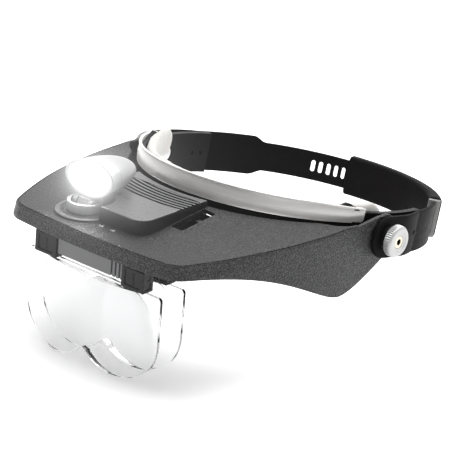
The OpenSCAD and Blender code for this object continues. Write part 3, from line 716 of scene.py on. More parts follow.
def carry_all(*rows):
    """Carried nodes with nothing more to do: node, edge width and segments, then the piece's name and finish,
    its slot and its body."""
    for node, width, segments, name, finish, slot, body in rows:
        piece(carried(node, width, segments), name, finish, slot, body, node)


# ---------------------------------------------------------------- stage and camera

CAMERA_LOOK = (0.0, 10.5, 12.0)
CAMERA_BACK = Vector((0.5744, -0.7392, 0.3517)).normalized()
CAMERA_RIGHT = Vector((0.7675, 0.6356, 0.0824)).normalized()
CAMERA_DISTANCE = 1500.0
CAMERA_LENS = 212.4
FRAMING = (-0.121, -0.1269)

BRIGHT_SIDE = (-0.55, 0.75, 0.36)
SHADE, GLOW = 0.16, 1.0
GLARES = (("BLOOM", 5.0, 1.0, 0.6),)


def make_camera():
    data = bpy.data.cameras.new("camera")
    data.sensor_width = 36
    data.lens = CAMERA_LENS
    data.shift_x, data.shift_y = FRAMING
    camera = bpy.data.objects.new("camera", data)
    right = (CAMERA_RIGHT - CAMERA_BACK * CAMERA_RIGHT.dot(CAMERA_BACK)).normalized()
    up = CAMERA_BACK.cross(right)
    turn = Matrix((right, up, CAMERA_BACK)).transposed()
    place = Vector(CAMERA_LOOK) * MM + CAMERA_BACK * CAMERA_DISTANCE * MM
    camera.matrix_world = Matrix.Translation(place) @ turn.to_4x4()
    bpy.context.scene.collection.objects.link(camera)
    bpy.context.scene.camera = camera


def aim(light, target):
    light.rotation_euler = (Vector(target) - light.location).to_track_quat("-Z", "Y").to_euler()


def area_light(name, place, target, size, power):
    data = bpy.data.lights.new(name, "AREA")
    data.shape = "RECTANGLE"
    data.size, data.size_y = size
    data.energy = power
    light = bpy.data.objects.new(name, data)
    light.location = place
    aim(light, target)
    bpy.context.scene.collection.objects.link(light)


def make_studio():
    """White walls behind the object, shaded walls on the near side."""
    world = bpy.data.worlds.new("studio")
    world.use_nodes = True
    tree = world.node_tree
    place = tree.nodes.new("ShaderNodeTexCoord")
    dot = tree.nodes.new("ShaderNodeVectorMath")
    dot.operation = "DOT_PRODUCT"
    dot.inputs[1].default_value = BRIGHT_SIDE
    ramp = tree.nodes.new("ShaderNodeMapRange")
    for key, v in (("From Min", -0.3), ("From Max", 0.75), ("To Min", SHADE), ("To Max", GLOW)):
        ramp.inputs[key].default_value = v
    tree.links.new(place.outputs["Generated"], dot.inputs[0])
    tree.links.new(dot.outputs["Value"], ramp.inputs["Value"])
    tree.links.new(ramp.outputs["Result"], tree.nodes["Background"].inputs["Strength"])
    tree.nodes["Background"].inputs["Color"].default_value = (1, 1, 1, 1)
    return world


def make_stage():
    low, size = CAD_BOX[0].z / MM - 1, 4000
    corners = [(-size, -size, low), (size, -size, low), (size, size, low), (-size, size, low)]
    floor = from_points("floor", corners, [(0, 1, 2, 3)])
    n = Nodes("floor_paper")
    tone = n.blend(n.spread(n.noise(40.0, 3.0), 0.3, 0.7), (0.93, 0.93, 0.93), (0.96, 0.96, 0.96))
    n.feed("Base Color", tone)
    n.feed("Roughness", n.spread(n.noise(5.0), 0.3, 0.7, 0.75, 0.85))
    n.feed("Emission Color", tone)
    n.value("Emission Strength", 0.38).value("Specular IOR Level", 0.1)
    floor.data.materials.append(n.material)
    bpy.context.scene.world = make_studio()
    area_light("over", (-0.1, 0.35, 1.25), (0, -0.02, 0), (1.4, 1.4), 27.0)
    area_light("right", (1.1, -0.75, 0.75), (0.02, -0.02, 0), (0.9, 0.7), 2.0)
    bpy.context.scene.view_settings.view_transform = "Standard"


def make_glow():
    """The lamp's bloom: only what is far brighter than the white floor spreads."""
    scene = bpy.context.scene
    scene.use_nodes = True
    tree = scene.node_tree
    tree.nodes.clear()
    layer = tree.nodes.new("CompositorNodeRLayers")
    result = tree.nodes.new("CompositorNodeComposite")
    last = layer.outputs["Image"]
    for kind, threshold, strength, size in GLARES:
        glare = tree.nodes.new("CompositorNodeGlare")
        glare.glare_type = kind
        glare.quality = "HIGH"
        settings = {"Threshold": threshold, "Smoothness": 0.1, "Strength": strength, "Size": size, "Saturation": 0.3}
        for key, v in settings.items():
            glare.inputs[key].default_value = v
        tree.links.new(last, glare.inputs["Image"])
        last = glare.outputs["Image"]
    tree.links.new(last, result.inputs["Image"])


# ---------------------------------------------------------------- visor


def meeting(c1, r1, c2, r2):
    """Where two circles meet, on the side with the greater x."""
    c1, c2 = np.array(c1), np.array(c2)
    d = np.linalg.norm(c2 - c1)
    along = (d * d + r1 * r1 - r2 * r2) / (2 * d)
    across = math.sqrt(r1 * r1 - along * along)
    way = (c2 - c1) / d
    side = np.array([way[1], -way[0]])
    p, q = c1 + along * way + across * side, c1 + along * way - across * side
    return p if p[0] > q[0] else q


def visor_outline():
    """The visor's outer face in plan, from the +X ear round the front to the -X ear."""
    front_r = (FRONT_HALF_W**2 + FRONT_BOW**2) / (2 * FRONT_BOW)
    front_c = (0.0, front_r - FRONT_Y - FRONT_BOW)
    run = FRONT_Y + SIDE_ARC_Y
    side_r = ((ARM_OUT - FRONT_HALF_W) ** 2 + run**2) / (2 * (ARM_OUT - FRONT_HALF_W))
    side_c = (ARM_OUT - side_r, SIDE_ARC_Y)
    round_c = meeting(front_c, front_r - CORNER_R, side_c, side_r - CORNER_R)
    side_end = math.degrees(math.atan2(round_c[1] - side_c[1], round_c[0] - side_c[0]))
    front_end = math.degrees(math.atan2(round_c[1] - front_c[1], round_c[0] - front_c[0]))
    half = [(ARM_OUT, y) for y in np.arange(EAR_R, SIDE_ARC_Y, -1.0)]
    half += arc(*side_c, side_r, 0, side_end, 80)[:-1]
    half += arc(*round_c, CORNER_R, side_end, front_end, 24)[:-1]
    half += arc(*front_c, front_r, front_end, -90, 50)
    return half + [(-x, y) for x, y in half[-2::-1]]


OUTLINE = visor_outline()
WALL = Path(OUTLINE, outward=-1)
LENGTH = WALL.s[-1]

CHEEK = bezier((-146, SKIRT_Z), (-82, SKIRT_Z), (-50, -27), (-34, -26.4), 24) + bezier(
    (-34, -26.4), (-24, -26.1), (-12, -20), (5.38, -11.28), 16
)
WALL_TOP = PLATE_Z - 0.75


def wall_bottom(y):
    return np.interp(y, [p[0] for p in CHEEK], [p[1] for p in CHEEK])


def wall_top(y):
    return WALL_TOP + (EAR_R - WALL_TOP) * smooth((np.asarray(y) + 26) / 22)


def front_share(y):
    """1 at the visor's front, 0 behind its middle."""
    return 1 - smooth((np.asarray(y) + 128) / 50)


def make_visor_wall():
    """Skirt, cheeks and ears in one strip, bent round the outline."""
    ear = [(EAR_R * math.cos(math.radians(a)), EAR_R * math.sin(math.radians(a))) for a in range(98, -65, -6)]
    inner = np.arange(EAR_R + 4, LENGTH / 2, 2.0)
    ys = WALL(inner, 0)[1]
    top = [(s, float(wall_top(y))) for s, y in zip(inner, ys)]
    low = [(s, float(wall_bottom(y))) for s, y in zip(inner, ys)]
    low += [(EAR_R - y, z) for y, z in CHEEK if y > 8 - EAR_R + 4]
    side = sorted(set((round(s, 4), round(z, 4)) for s, z in low))
    ear_loop = [(EAR_R - y, z) for y, z in ear]
    left = [(s, z) for s, z in side if s > EAR_R - 5.3]
    loop = ear_loop + left + [(LENGTH - s, z) for s, z in left[::-1]]
    loop += [(LENGTH - s, z) for s, z in ear_loop[::-1]] + [(LENGTH - s, z) for s, z in top]
    loop += top[::-1]
    holes = [circle_loop(EAR_R, 0, BOLT_HOLE_R, 24), circle_loop(LENGTH - EAR_R, 0, BOLT_HOLE_R, 24)]
    wall = slab("visor_wall", [loop] + holes, -WALL_T, 0, 0.5, 3)
    cuts = list(np.arange(6, LENGTH - 6, 3.0))
    for corner in (WALL.s_at(FRONT_HALF_W - 3, -142), WALL.s_at(3 - FRONT_HALF_W, -142)):
        cuts += list(np.arange(corner - 16, corner + 16, 1.0))

    def slice_up(bm):
        for s in cuts:
            everything = bm.verts[:] + bm.edges[:] + bm.faces[:]
            bmesh.ops.bisect_plane(bm, geom=everything, dist=1e-7, plane_co=(s * MM, 0, 0), plane_no=(1, 0, 0))
        for z in (-22, -16, -10, -4, 1.5, 5.5, 8.5):
            everything = bm.verts[:] + bm.edges[:] + bm.faces[:]
            bmesh.ops.bisect_plane(bm, geom=everything, dist=1e-7, plane_co=(0, z * MM, 0), plane_no=(0, 1, 0))

    with_bmesh(wall, slice_up)

    def bend(p):
        y = WALL(p[:, 0], 0)[1]
        flare = 1.1 * smooth((WALL_TOP - p[:, 1]) / 7.5) * front_share(y)
        x, y = WALL(p[:, 0], p[:, 2] + flare)
        return np.stack([x, y, p[:, 1]], 1)

    return shade(fix_normals(moved(wall, bend)), 40)


def rear_edge(phi):
    """Distance from the brow centre to the plate's rear edge, at angle phi from the front."""
    rise = smooth((abs(phi) - math.radians(60)) / math.radians(14.5))
    return GAP_R + 7.2 * rise


def crown(x, y, phi, gap):
    """How far the plate rises towards the brow."""
    height = max(0.0, 0.118 * (SIDE_ARC_Y - GAP_Y + GAP_R * math.cos(phi)))
    reach = max(4.0, min(47.0, gap - 2.0))
    t = (math.hypot(x, y - GAP_Y) - GAP_R) / reach
    sharp = 9.0
    return height * math.log1p(math.exp(sharp * (1 - t))) / sharp


def make_visor_plate():
    """The grained top: a sheet that rises to the brow, with round edges all about."""
    start = WALL.s_at(ARM_OUT, -24)
    corner = WALL.s_at(FRONT_HALF_W - 3, -142)
    places = list(np.arange(start, corner - 14, 3.0)) + list(np.arange(corner - 14, corner + 14, 1.1))
    places += list(np.arange(corner + 14, LENGTH / 2, 2.5))
    places += [LENGTH / 2] + [LENGTH - s for s in places[::-1]]
    inset = 0.12
    rim = [(0.0, -1.6), (0.0, -0.85), (0.12, -0.5), (0.36, -0.28), (0.62, -0.3), (0.8, -0.5), (0.84, -1.35)]
    rim += [(1.5, -1.35), (1.54, -0.5), (1.68, -0.2), (1.95, -0.05), (2.3, 0.0)]
    lip = [(0.9, 0.0), (0.4, -0.15), (0.12, -0.5), (0.0, -1.1), (0.12, -1.7), (0.4, -2.05), (0.9, -PLATE_T)]
    shares = [0.02, 0.06, 0.12, 0.2, 0.3, 0.4, 0.5, 0.6, 0.7, 0.8, 0.88, 0.95]
    rings = []
    for s in places:
        ox, oy = (float(v) for v in WALL(s, -inset))
        phi = math.atan2(ox, GAP_Y - oy)
        far = math.hypot(ox, oy - GAP_Y)
        near = rear_edge(phi)
        gap = max(far - near, 2.4)
        near = far - gap

        def at(r, dz):
            x, y = r * math.sin(phi), GAP_Y - r * math.cos(phi)
            return (x, y, PLATE_Z + crown(x, y, phi, gap) + dz)

        small = min(1.0, gap / 6)
        start, across = far - 2.3 * small, gap - 3.2 * small
        ring = [at(far - e * small, dz) for e, dz in rim]
        ring += [at(start - across * q, 0.0) for q in shares]
        ring += [at(near + e * small, dz) for e, dz in lip]
        ring += [at(start - across * q, -PLATE_T) for q in shares[::-1]]
        ring += [at(far - 0.4 * small, -PLATE_T), at(far - 0.1 * small, -PLATE_T + 0.1)]
        rings.append(ring)
    plate = loft("visor_plate", rings)
    plate = cut(
        plate,
        slab("bay_hole", [rounded_box(-29.9, 20.1, -103.7, -80.3, 0.5)], 0, 30, 0.05, 1),
        slab("pocket_hole", [rounded_box(*POCKET, 1.4)], 0, 30, 0.05, 1),
        slab("stem_hole", [circle_loop(*STEM, 4.06, 40)], 0, 30, 0.02, 1),
        slab("screw_hole_a", [circle_loop(-4, -131.5, 1.25, 20)], 0, 30, 0.02, 1),
        slab("screw_hole_b", [circle_loop(4, -131.5, 1.25, 20)], 0, 30, 0.02, 1),
    )
    return shade(fix_normals(plate), 38)


def make_pocket_well():
    """The finger pocket's walls and floor, under the plate."""
    bottom, top = 3.5, 13.4
    outline = rounded_box(20.8, 31.8, -108.5, -78.5, 2.4)
    walls = slab("well_walls", [outline, rounded_box(*POCKET, 1.4)], bottom, top, 0.1, 1)
    floor = slab("well_floor", [rounded_box(21, 31.6, -108.3, -78.7, 2.2)], bottom, 5.0, 0.3)
    return shade(joined("pocket_well", [walls, floor]))


def make_marks():
    """Plain raised bars beside the finger pocket, in place of print."""
    bars = []
    for x, y, lengths in ((33.6, -93.5, (2.6, 1.7, 3.1)), (35.2, -89.5, (3.4, 2.2))):
        for length in lengths:
            z = PLATE_Z + crown(x, y, math.atan2(x, GAP_Y - y), 58.0)
            outline = rounded_box(x - 0.3, x + 0.3, y, y + length, 0.28)
            bars.append(slab("mark", [outline], z - 0.3, z + 0.12, 0.08, 1))
            y += length + 1.1
    return shade(joined("marks", bars))


def build_visor():
    piece(make_visor_plate(), "visor_plate", "visor", "visor_black", "visor", "visor_shell")
    piece(make_visor_wall(), "visor_wall", "visor", "visor_black", "visor")
    piece(make_pocket_well(), "pocket_well", "visor", "visor_black", "visor")
    piece(make_marks(), "pocket_marks", "bar", "visor_black", "visor")


# ---------------------------------------------------------------- housing, door and switch


def housing_outline():
    """Plan of the housing: L-shaped round the lamp's turret, its rear following the brow."""
    right, left, front = 21.5, -31.0, -129.0
    rear_r = GAP_R + 1.2
    meet_front = STEM[0] + math.sqrt(TURRET_R**2 - (front - STEM[1]) ** 2)
    a_front = math.degrees(math.atan2(front - STEM[1], meet_front - STEM[0]))
    a_inner = math.degrees(math.atan2(math.sqrt(TURRET_R**2 - 100), 10))
    rear_right = math.degrees(math.atan2(-math.sqrt(rear_r**2 - right**2), right))
    rear_left = math.degrees(math.atan2(-math.sqrt(rear_r**2 - left**2), left))
    loop = [(meet_front, front)]
    loop += arc(right - 9, front + 9, 9, -90, 0, 14)
    loop += arc(0, GAP_Y, rear_r, rear_right, rear_left, 30)
    loop += [(left, -107), (-14, -107)]
    loop += arc(*STEM, TURRET_R, a_inner, a_front, 18)[:-1]
    return loop


def make_housing():
    body = slab("housing", [housing_outline()], PLATE_Z - 1.2, HOUSING_Z, 0.9, 3)
    top = HOUSING_Z - DOOR_T
    body = cut(
        body,
        slab("bay", [rounded_box(-29.6, 19.8, -103.4, -80.6, 0.6)], 5, top - 0.1, 0.05, 1),
        slab("door_recess", [rounded_box(-27.15, 60, -101.15, -82.85, 0.4)], top - 0.15, top + 5, 0.05, 1),
        slab("track", [rounded_box(-23, 60, -101.9, -82.1, 0.1)], top - 0.15, top + 0.7, 0.02, 1),
        slab("notch", [rounded_box(19.9, 24, -113, -109.6, 0.5)], 8, 13.8, 0.1, 1),
    )
    return shade(fix_normals(body), 34)


def make_door():
    """The sliding battery door, with curved grip grooves."""
    z0 = HOUSING_Z - DOOR_T
    door = slab("door", [rounded_box(-27, 21.5, -101, -83, 0.8)], z0, HOUSING_Z, 0.28, 2)
    rails = slab("rails", [rounded_box(-22.4, 21.5, -101.6, -82.4, 0.2)], z0, z0 + 0.55, 0.08, 1)
    cutters = []
    low, high = HOUSING_Z - 0.95, HOUSING_Z + 1
    for i in range(6):
        r = GAP_R + 6.1 + 3 * i
        ring = []
        for k in range(33):
            a = math.radians(-112 + 44 * k / 32)
            c, s = math.cos(a), math.sin(a)
            section = ((r - 0.1, low), (r + 1.2, low), (r + 1.5, high), (r - 0.35, high))
            ring.append([(q * c, GAP_Y + q * s, z) for q, z in section])
        cutters.append(loft("groove", ring))
    door = cut(door, *cutters)
    return shade(fix_normals(joined("door_all", [door, rails])), 34)


def make_seat():
    """The turret ring: a stepped disc with small detent ribs."""

    def place(x, y, z):
        return (STEM[0] + x, STEM[1] + y, z)

    z0, z1 = PLATE_Z + 0.02, PLATE_Z + 1.4
    profile = [(4.06, z0), (15.6, z0), (15.85, z0 + 0.25), (15.85, z1 - 0.5), (15.4, z1 - 0.08), (15.0, z1)]
    profile += [(13.4, z1), (13.2, z1 - 0.3), (10.6, z1 - 0.3), (10.4, z1), (4.4, z1), (4.06, z1 - 0.3)]
    ring = turned("seat", profile, place, 96)
    ribs = []
    for i in range(40):
        a = 2 * math.pi * i / 40
        rib = slab("rib", [rounded_box(10.9, 13.0, -0.28, 0.28, 0.2, 2)], z1 - 0.6, z1 - 0.02, 0.1, 1)
        rib.matrix_world = Matrix.Translation((STEM[0] * MM, STEM[1] * MM, 0)) @ Matrix.Rotation(a, 4, "Z")
        ribs.append(rib)
    bpy.context.view_layer.update()
    return shade(joined("seat_all", [ring] + ribs))


def build_housing():
    body = piece(make_housing(), "housing_body", "housing", "housing_grey", "visor", "lamp_housing")
    # Painted shade: faces below the top that do not face up get the darker copy of the housing plastic.
    body.data.materials.append(M["wall"])
    for face in body.data.polygons:
        face.material_index = int(face.normal.z < 0.35 and face.center.z < (HOUSING_Z - 0.15) * MM)
    door = piece(make_door(), "door_ribbed", "housing", "housing_grey", "battery_door", "battery_door")
    # Painted shade: the door's faces below its top, in the grip grooves, along its sides and under it, get the
    # darker copy of the housing plastic.
    door.data.materials.append(M["wall"])
    for face in door.data.polygons:
        face.material_index = int(face.center.z < (HOUSING_Z - 0.35) * MM)
    piece(make_seat(), "seat_ring", "housing", "housing_grey", "visor", "stem_ring")
    carry_all(
        ("battery_tray", 0.35, 2, "tray", "visor", "visor_black", "visor"),
        ("battery_cells", 0.3, 2, "cells", "cell", "cell_wrap", "visor"),
        ("battery_contacts", 0.06, 1, "contacts", "contact", "contact_nickel", "visor"),
        ("switch_body", 0.25, 2, "switch_case", "clip", "clip_black", "visor"),
        ("switch_slider", 0.2, 2, "switch_knob", "slider", "latch_grey", "switch"),
        ("tray_screws", 0.15, 2, "tray_screw_heads", "steel", "pin_steel", "visor"),
        ("bar_screws", 0.12, 2, "bar_screw_heads", "steel", "pin_steel", "visor"),
    )


# ---------------------------------------------------------------- lamp


def oval_ring(w, h, y, n=72):
    """An upright oval of half sizes w and h, y behind the back of the bezel."""
    turns = [2 * math.pi * i / n for i in range(n)]
    return [lamp_to_row(w * math.cos(a), y + LAMP_BACK, LAMP_Z + h * math.sin(a)) for a in turns]


def oval_part(name, profile, n=72):
    """A part of oval section: the profile holds (half width, half height, y) and closes on itself."""
    rings = [oval_ring(w, h, y, n=n) for w, h, y in profile]
    return loft(name, rings, closed_path=True)


def make_lamp_shell():
    """Egg-shaped body with a fine parting groove behind the bezel."""
    wall, groove_y, steps = 1.4, 6.5, 26

    def outside(y):
        share = math.cos(math.asin(y / LAMP_LEN))
        groove = 0.28 * math.exp(-(((y - groove_y) / 0.45) ** 2))
        return (LAMP_W * share - groove, LAMP_H * share - groove, y)

    turns = [math.pi / 2 * i / steps for i in range(steps + 1)]
    stops = [LAMP_LEN * math.sin(a * 0.985) for a in turns]
    stops += [y + extra for y in stops if 4 < y < 9 for extra in (0.35, 0.7, 1.05)]
    outer = [oval_ring(*outside(y)) for y in sorted(set(stops))]
    inner = []
    for a in turns:
        c, s = math.cos(a * 0.97), math.sin(a * 0.97)
        inner.append(oval_ring((LAMP_W - wall) * c, (LAMP_H - wall) * c, (LAMP_LEN - wall) * s))
    return shade(loft("lamp_shell", inner[::-1] + outer), 50)


def make_bezel():
    w, h = 16.1, 10.1
    edge = [(2.5, -3.2), (2.45, -4.2), (2.1, -4.55), (1.2, -4.6), (0.5, -4.4), (0.12, -4.0), (0.0, -3.5)]
    edge += [(0.0, -2.9), (0.22, -2.7), (0.22, -2.5), (0.0, -2.3), (0.05, -1.5), (0.35, -1.1), (0.9, -1.02)]
    edge += [(2.3, -1.0), (2.4, 1.5), (3.8, 1.5), (3.8, -3.1)]
    profile = [(w - e, h - e, y) for e, y in edge]
    return shade(oval_part("bezel", profile, 96), 40)


def make_reflector():
    """A bowl of flat facets between the bezel and the light source; its brightness is a glow painted in its
    material.
    """
    facets, rows = 20, 5
    points, faces = [], []
    for j in range(rows + 1):
        t = j / rows
        w = 3.2 + (12.0 - 3.2) * t**0.8
        h = 2.6 + (6.3 - 2.6) * t**0.8
        y = 3.1 - 5.6 * t**1.7
        for i in range(facets):
            a = 2 * math.pi * (i + 0.5 * (j % 2)) / facets
            points.append(lamp_to_row(w * math.cos(a), y + LAMP_BACK, LAMP_Z + h * math.sin(a)))
    for j in range(rows):
        for i in range(facets):
            k = (i + 1) % facets
            a, b = j * facets, (j + 1) * facets
            if j % 2 == 0:
                faces += [(a + i, a + k, b + i), (a + k, b + k, b + i)]
            else:
                faces += [(a + i, b + k, b + i), (a + i, a + k, b + k)]
    bowl = from_points("reflector", points, faces)
    thick = bowl.modifiers.new("wall", "SOLIDIFY")
    thick.thickness = 0.35 * MM
    thick.offset = 1
    baked(bowl)
    return fix_normals(bowl)


def make_window():
    """The lamp's clear oval window, domed a little."""
    w, h = 13.5, 7.7
    front = [(0.0, -3.1), (0.0, -3.7), (0.25, -4.0)]
    rings = [oval_ring(w - e, h - e, y) for e, y in front]
    for q in (0.85, 0.65, 0.45, 0.25, 0.08):
        rings.append(oval_ring((w - 0.25) * q, (h - 0.25) * q, -4.0 - 0.45 * (1 - q * q)))
    back = []
    for q in (0.08, 0.3, 0.55, 0.8, 0.97):
        back.append(oval_ring((w - 0.05) * q, (h - 0.05) * q, -3.05 - 0.25 * (1 - q * q)))
    return shade(loft("window", back + rings), 40)


def upright_in_lamp(obj):
    """A slab drawn as a side view (y, z) set across the lamp."""
    return fix_normals(moved(obj, lambda p: np.stack(lamp_to_row(p[:, 2], p[:, 0], p[:, 1]), 1)))


def make_stem():
    """The turned post: a round wall on a plug in the seat, with two cheeks that hold the tilt pin."""
    inner, outer, axle = 7.9, 9.75, 1.6
    low, top = 13.45, STEM_TOP
    profile = [(inner, low), (outer - 0.35, low), (outer, low + 0.35), (outer, 15.0), (outer, top - 0.5)]
    profile += [(outer - 0.12, top - 0.15), (outer - 0.4, top)]
    profile += [(inner + 0.3, top), (inner, top - 0.25), (inner, 15.0)]
    wall = turned("stem_wall", profile, lamp_to_row, 72)
    hole = circle_loop(*STEM, axle, 24)
    floor = slab("stem_floor", [circle_loop(*STEM, 8.0, 64), hole], low, 14.0, 0.1, 1)
    plug = slab("stem_plug", [circle_loop(*STEM, 3.98, 48), hole], 8, 13.6, 0.15, 1)
    cheeks = []
    for side in (-1, 1):
        r = 3.4
        loop = [(-r, 13.8), (r, 13.8), (r, LAMP_TILT_Z)] + arc(0, LAMP_TILT_Z, r, 0, 180, 14)[1:]
        pin_hole = circle_loop(0, LAMP_TILT_Z, 1.02, 20)
        cheek = slab("cheek", [loop, pin_hole], *sorted((side * 4.25, side * 6.6)), 0.3)
        cheeks.append(upright_in_lamp(cheek))
    return shade(fix_normals(joined("stem_all", [wall, floor, plug] + cheeks)), 36)


def make_foot():
    """The head's knuckle on the tilt pin, its neck, and a shelf back to a saddle under the shell."""
    half_w, run = 3.95, 1.16
    under = LAMP_Z - LAMP_H
    barrel = arc(0, LAMP_TILT_Z, 2.4, -180, 0, 20)
    loop = barrel + [(2.4, 18.4), (3.0, 19.1), (3.6, 19.25), (8.4, 19.25), (9.0, 19.8), (9.0, under + 1.1)]
    loop += [(3.8, under + 0.9), (3.8, 20.4), (3.4, 20.1), (-0.5, 20.1), (-0.9, 19.7), (-0.9, 18.4)]
    foot = slab("foot", [loop, circle_loop(0, LAMP_TILT_Z, run, 20)], -half_w, half_w, 0.15, 1)
    return shade(upright_in_lamp(foot), 36)


def build_lamp():
    piece(make_lamp_shell(), "lamp_egg", "lamp", "lamp_silver", "lamp_head", "lamp_shell")
    piece(make_bezel(), "lamp_rim", "lamp", "lamp_silver", "lamp_head", "lamp_bezel")
    piece(make_reflector(), "lamp_bowl", "mirror", "reflector", "lamp_head", "lamp_reflector")
    piece(make_window(), "lamp_window", "window", "lamp_clear", "lamp_head", "lamp_lens")
    carry_all(
        ("led_chip", 0.15, 2, "led", "led", "led_yellow", "lamp_head"),
        ("led_board", 0.1, 2, "led_plate", "board", "board_green", "lamp_head"),
    )
    piece(make_foot(), "lamp_foot", "stem", "lamp_silver", "lamp_head", "lamp_lug")
    piece(make_stem(), "stem", "stem", "lamp_silver", "lamp_stem", "lamp_stem")
    carry_all(
        ("stem_retainer", 0.2, 2, "stem_clip", "steel", "pin_steel", "lamp_stem"),
        ("tilt_pin", 0.15, 2, "stem_pin", "steel", "pin_steel", "lamp_stem"),
    )
    beam = bpy.data.lights.new("beam", "SPOT")
    beam.energy = 0.04
    beam.spot_size = math.radians(150)
    beam.spot_blend = 1.0
    beam.shadow_soft_size = 0.007
    beam.color = (1.0, 0.985, 0.95)
    light = bpy.data.objects.new("beam", beam)
    bpy.context.scene.collection.objects.link(light)
    light.location = Vector(lamp_to_row(0, LAMP_BACK - 6.2, LAMP_Z)) * MM
    ahead = Vector(lamp_to_row(0, -60, LAMP_Z - 14)) * MM
    aim(light, ahead)
    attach(light, "lamp_head")


# ---------------------------------------------------------------- headband

COVER_END = 72.6
SLOT_START, SLOT_STEP = -33.1, 3.625
STEP_Y = (52.5, 60.5)
LATCH_AT = -2.2
STRAP_TOP, STRAP_LOW = PIVOT_ZB + STRAP_H / 2, PIVOT_ZB - STRAP_H / 2


def strap_path(end_angle):
    """Middle of a strap's thickness in plan: straight past the pivot, then round the oval."""
    mid = 0.9
    tab_x = 85.35
    oval = band_path(100, end_angle, mid).p
    y_join = oval[0][1]
    points = [(tab_x, y) for y in np.arange(PIVOT_YB - STRAP_H / 2, -3.0, 0.5)]
    for y in np.arange(-3.0, y_join, 0.5):
        side = math.sqrt((SIDE_R + mid) ** 2 - y * y) - SIDE_OFF
        w = float(smooth((y + 3.0) / 24.0))
        points.append((tab_x * (1 - w) + side * w, y))
    return Path(points + [tuple(p) for p in oval])


def strap_outline(path, length):
    """The strap laid flat: round pivot end, wide part, stepped down to the narrow end."""
    r = STRAP_H / 2
    narrow = STRAP_NARROW / 2
    other_side = 99 * (path.p[:, 0] < 20)
    step, end_step = (path.s[np.argmin(np.abs(path.p[:, 1] - y) + other_side)] for y in STEP_Y)
    high, low = PIVOT_ZB + narrow, PIVOT_ZB - narrow
    loop = arc(r, PIVOT_ZB, r, 270, 90, 30)
    loop += bezier((step, STRAP_TOP), (step + 4.6, STRAP_TOP), (end_step - 4.6, high), (end_step, high), 10)
    end = 3.0
    loop += arc(length - end, high - end, end, 90, 0, 6)
    loop += arc(length - end, low + end, end, 0, -90, 6)
    loop += bezier((end_step, low), (end_step - 3.4, low), (step + 4, STRAP_LOW), (step - 0.5, STRAP_LOW), 10)
    return loop


def stadium(cx, cy, half_w, half_h, n=8):
    low = arc(cx, cy - half_h + half_w, half_w, 180, 360, n)
    return low + arc(cx, cy + half_h - half_w, half_w, 0, 180, n)


def make_strap(side, end_angle, slots=()):
    path = strap_path(end_angle)
    length = path.s[-1]
    loops = [strap_outline(path, length)]
    loops.append(circle_loop(STRAP_H / 2, PIVOT_ZB, BOLT_HOLE_R, 20))
    for angle in slots:
        a = math.radians(-angle)
        x, y = (END_R + 0.9) * math.sin(a), END_Y + (END_R + 0.9) * math.cos(a)
        loops.append(stadium(path.s_at(x, y), PIVOT_ZB, 1.25, 3.5))
    flat = slab("strap", loops, -1.2, 1.2, 0.55, 3)
    sliced(flat, 0, 2.0)
    bend_to_band(flat, path)
    if side < 0:
        moved(flat, lambda p: p * np.array([-1, 1, 1]))
        fix_normals(flat)
    return shade(flat, 38)


def band_profile(path, s, section):
    """Points of a section (offset, height) at length s of a band path, in the row frame."""
    d = np.array([p[0] for p in section])
    z = np.array([p[1] for p in section])
    x, y = path(np.full(len(section), s), d)
    return [tuple(p) for p in band_to_row(np.stack([x, y, z], 1))]


def make_cover():
    """Silver brow cover: a gently crowned band with a rolled rim along its top."""
    path = band_path(-COVER_END, COVER_END, -0.1)
    length = path.s[-1]
    rings = []
    near_end = [0, 0.25, 0.7, 1.4, 2.4]
    for s in near_end + list(np.arange(4, length - 4, 2.5)) + [length - x for x in near_end[::-1]]:
        y = float(path(s, 0)[1])
        back = np.clip((y + 100) / 69, 0, 1)
        low = -5.4 + 1.8 * back
        top = 6.2 - 1.0 * smooth((back - 0.62) / 0.38)
        end = min(s, length - s)
        tip = 1 - 0.13 * math.sqrt(max(0.0, 1 - min(end, 2.4) / 2.4))
        mid = (low + top) / 2
        face = []
        for q in np.linspace(0, 1, 12):
            face.append((0.45 * math.sin(math.pi * q) - 0.32, low + 0.55 + (top - 2.3 - low) * q))
        rim = [(-0.52, top - 1.45), (-0.5, top - 1.25), (-0.05, top - 1.1), (0.22, top - 0.8)]
        rim += [(0.3, top - 0.45), (0.18, top - 0.14), (-0.1, top), (-0.9, top)]
        rim += [(-1.25, top - 0.15), (-1.4, top - 0.5)]
        back_face = [(-1.5, top - 1.6), (-1.5, mid), (-1.5, low + 0.4), (-1.3, low + 0.08)]
        section = face + rim + back_face + [(-0.9, low), (-0.55, low + 0.12)]
        thin = 0.35 + 0.65 * math.sqrt(min(1.0, end / 0.9))
        section = [(-0.9 + (d + 0.9) * thin, mid + (z - mid) * tip) for d, z in section]
        rings.append(band_profile(path, s, section))
    return shade(loft("cover", rings), 42)


def tucked(p):
    """The brow frame's top edge let down behind the cover, where the pad rolls over it."""
    q = row_to_band(p)
    front = 1 - smooth((q[:, 1] + 44) / 8)
    q[:, 2] -= 4.2 * front * smooth((q[:, 2] - 1) / 5)
    return band_to_row(q)


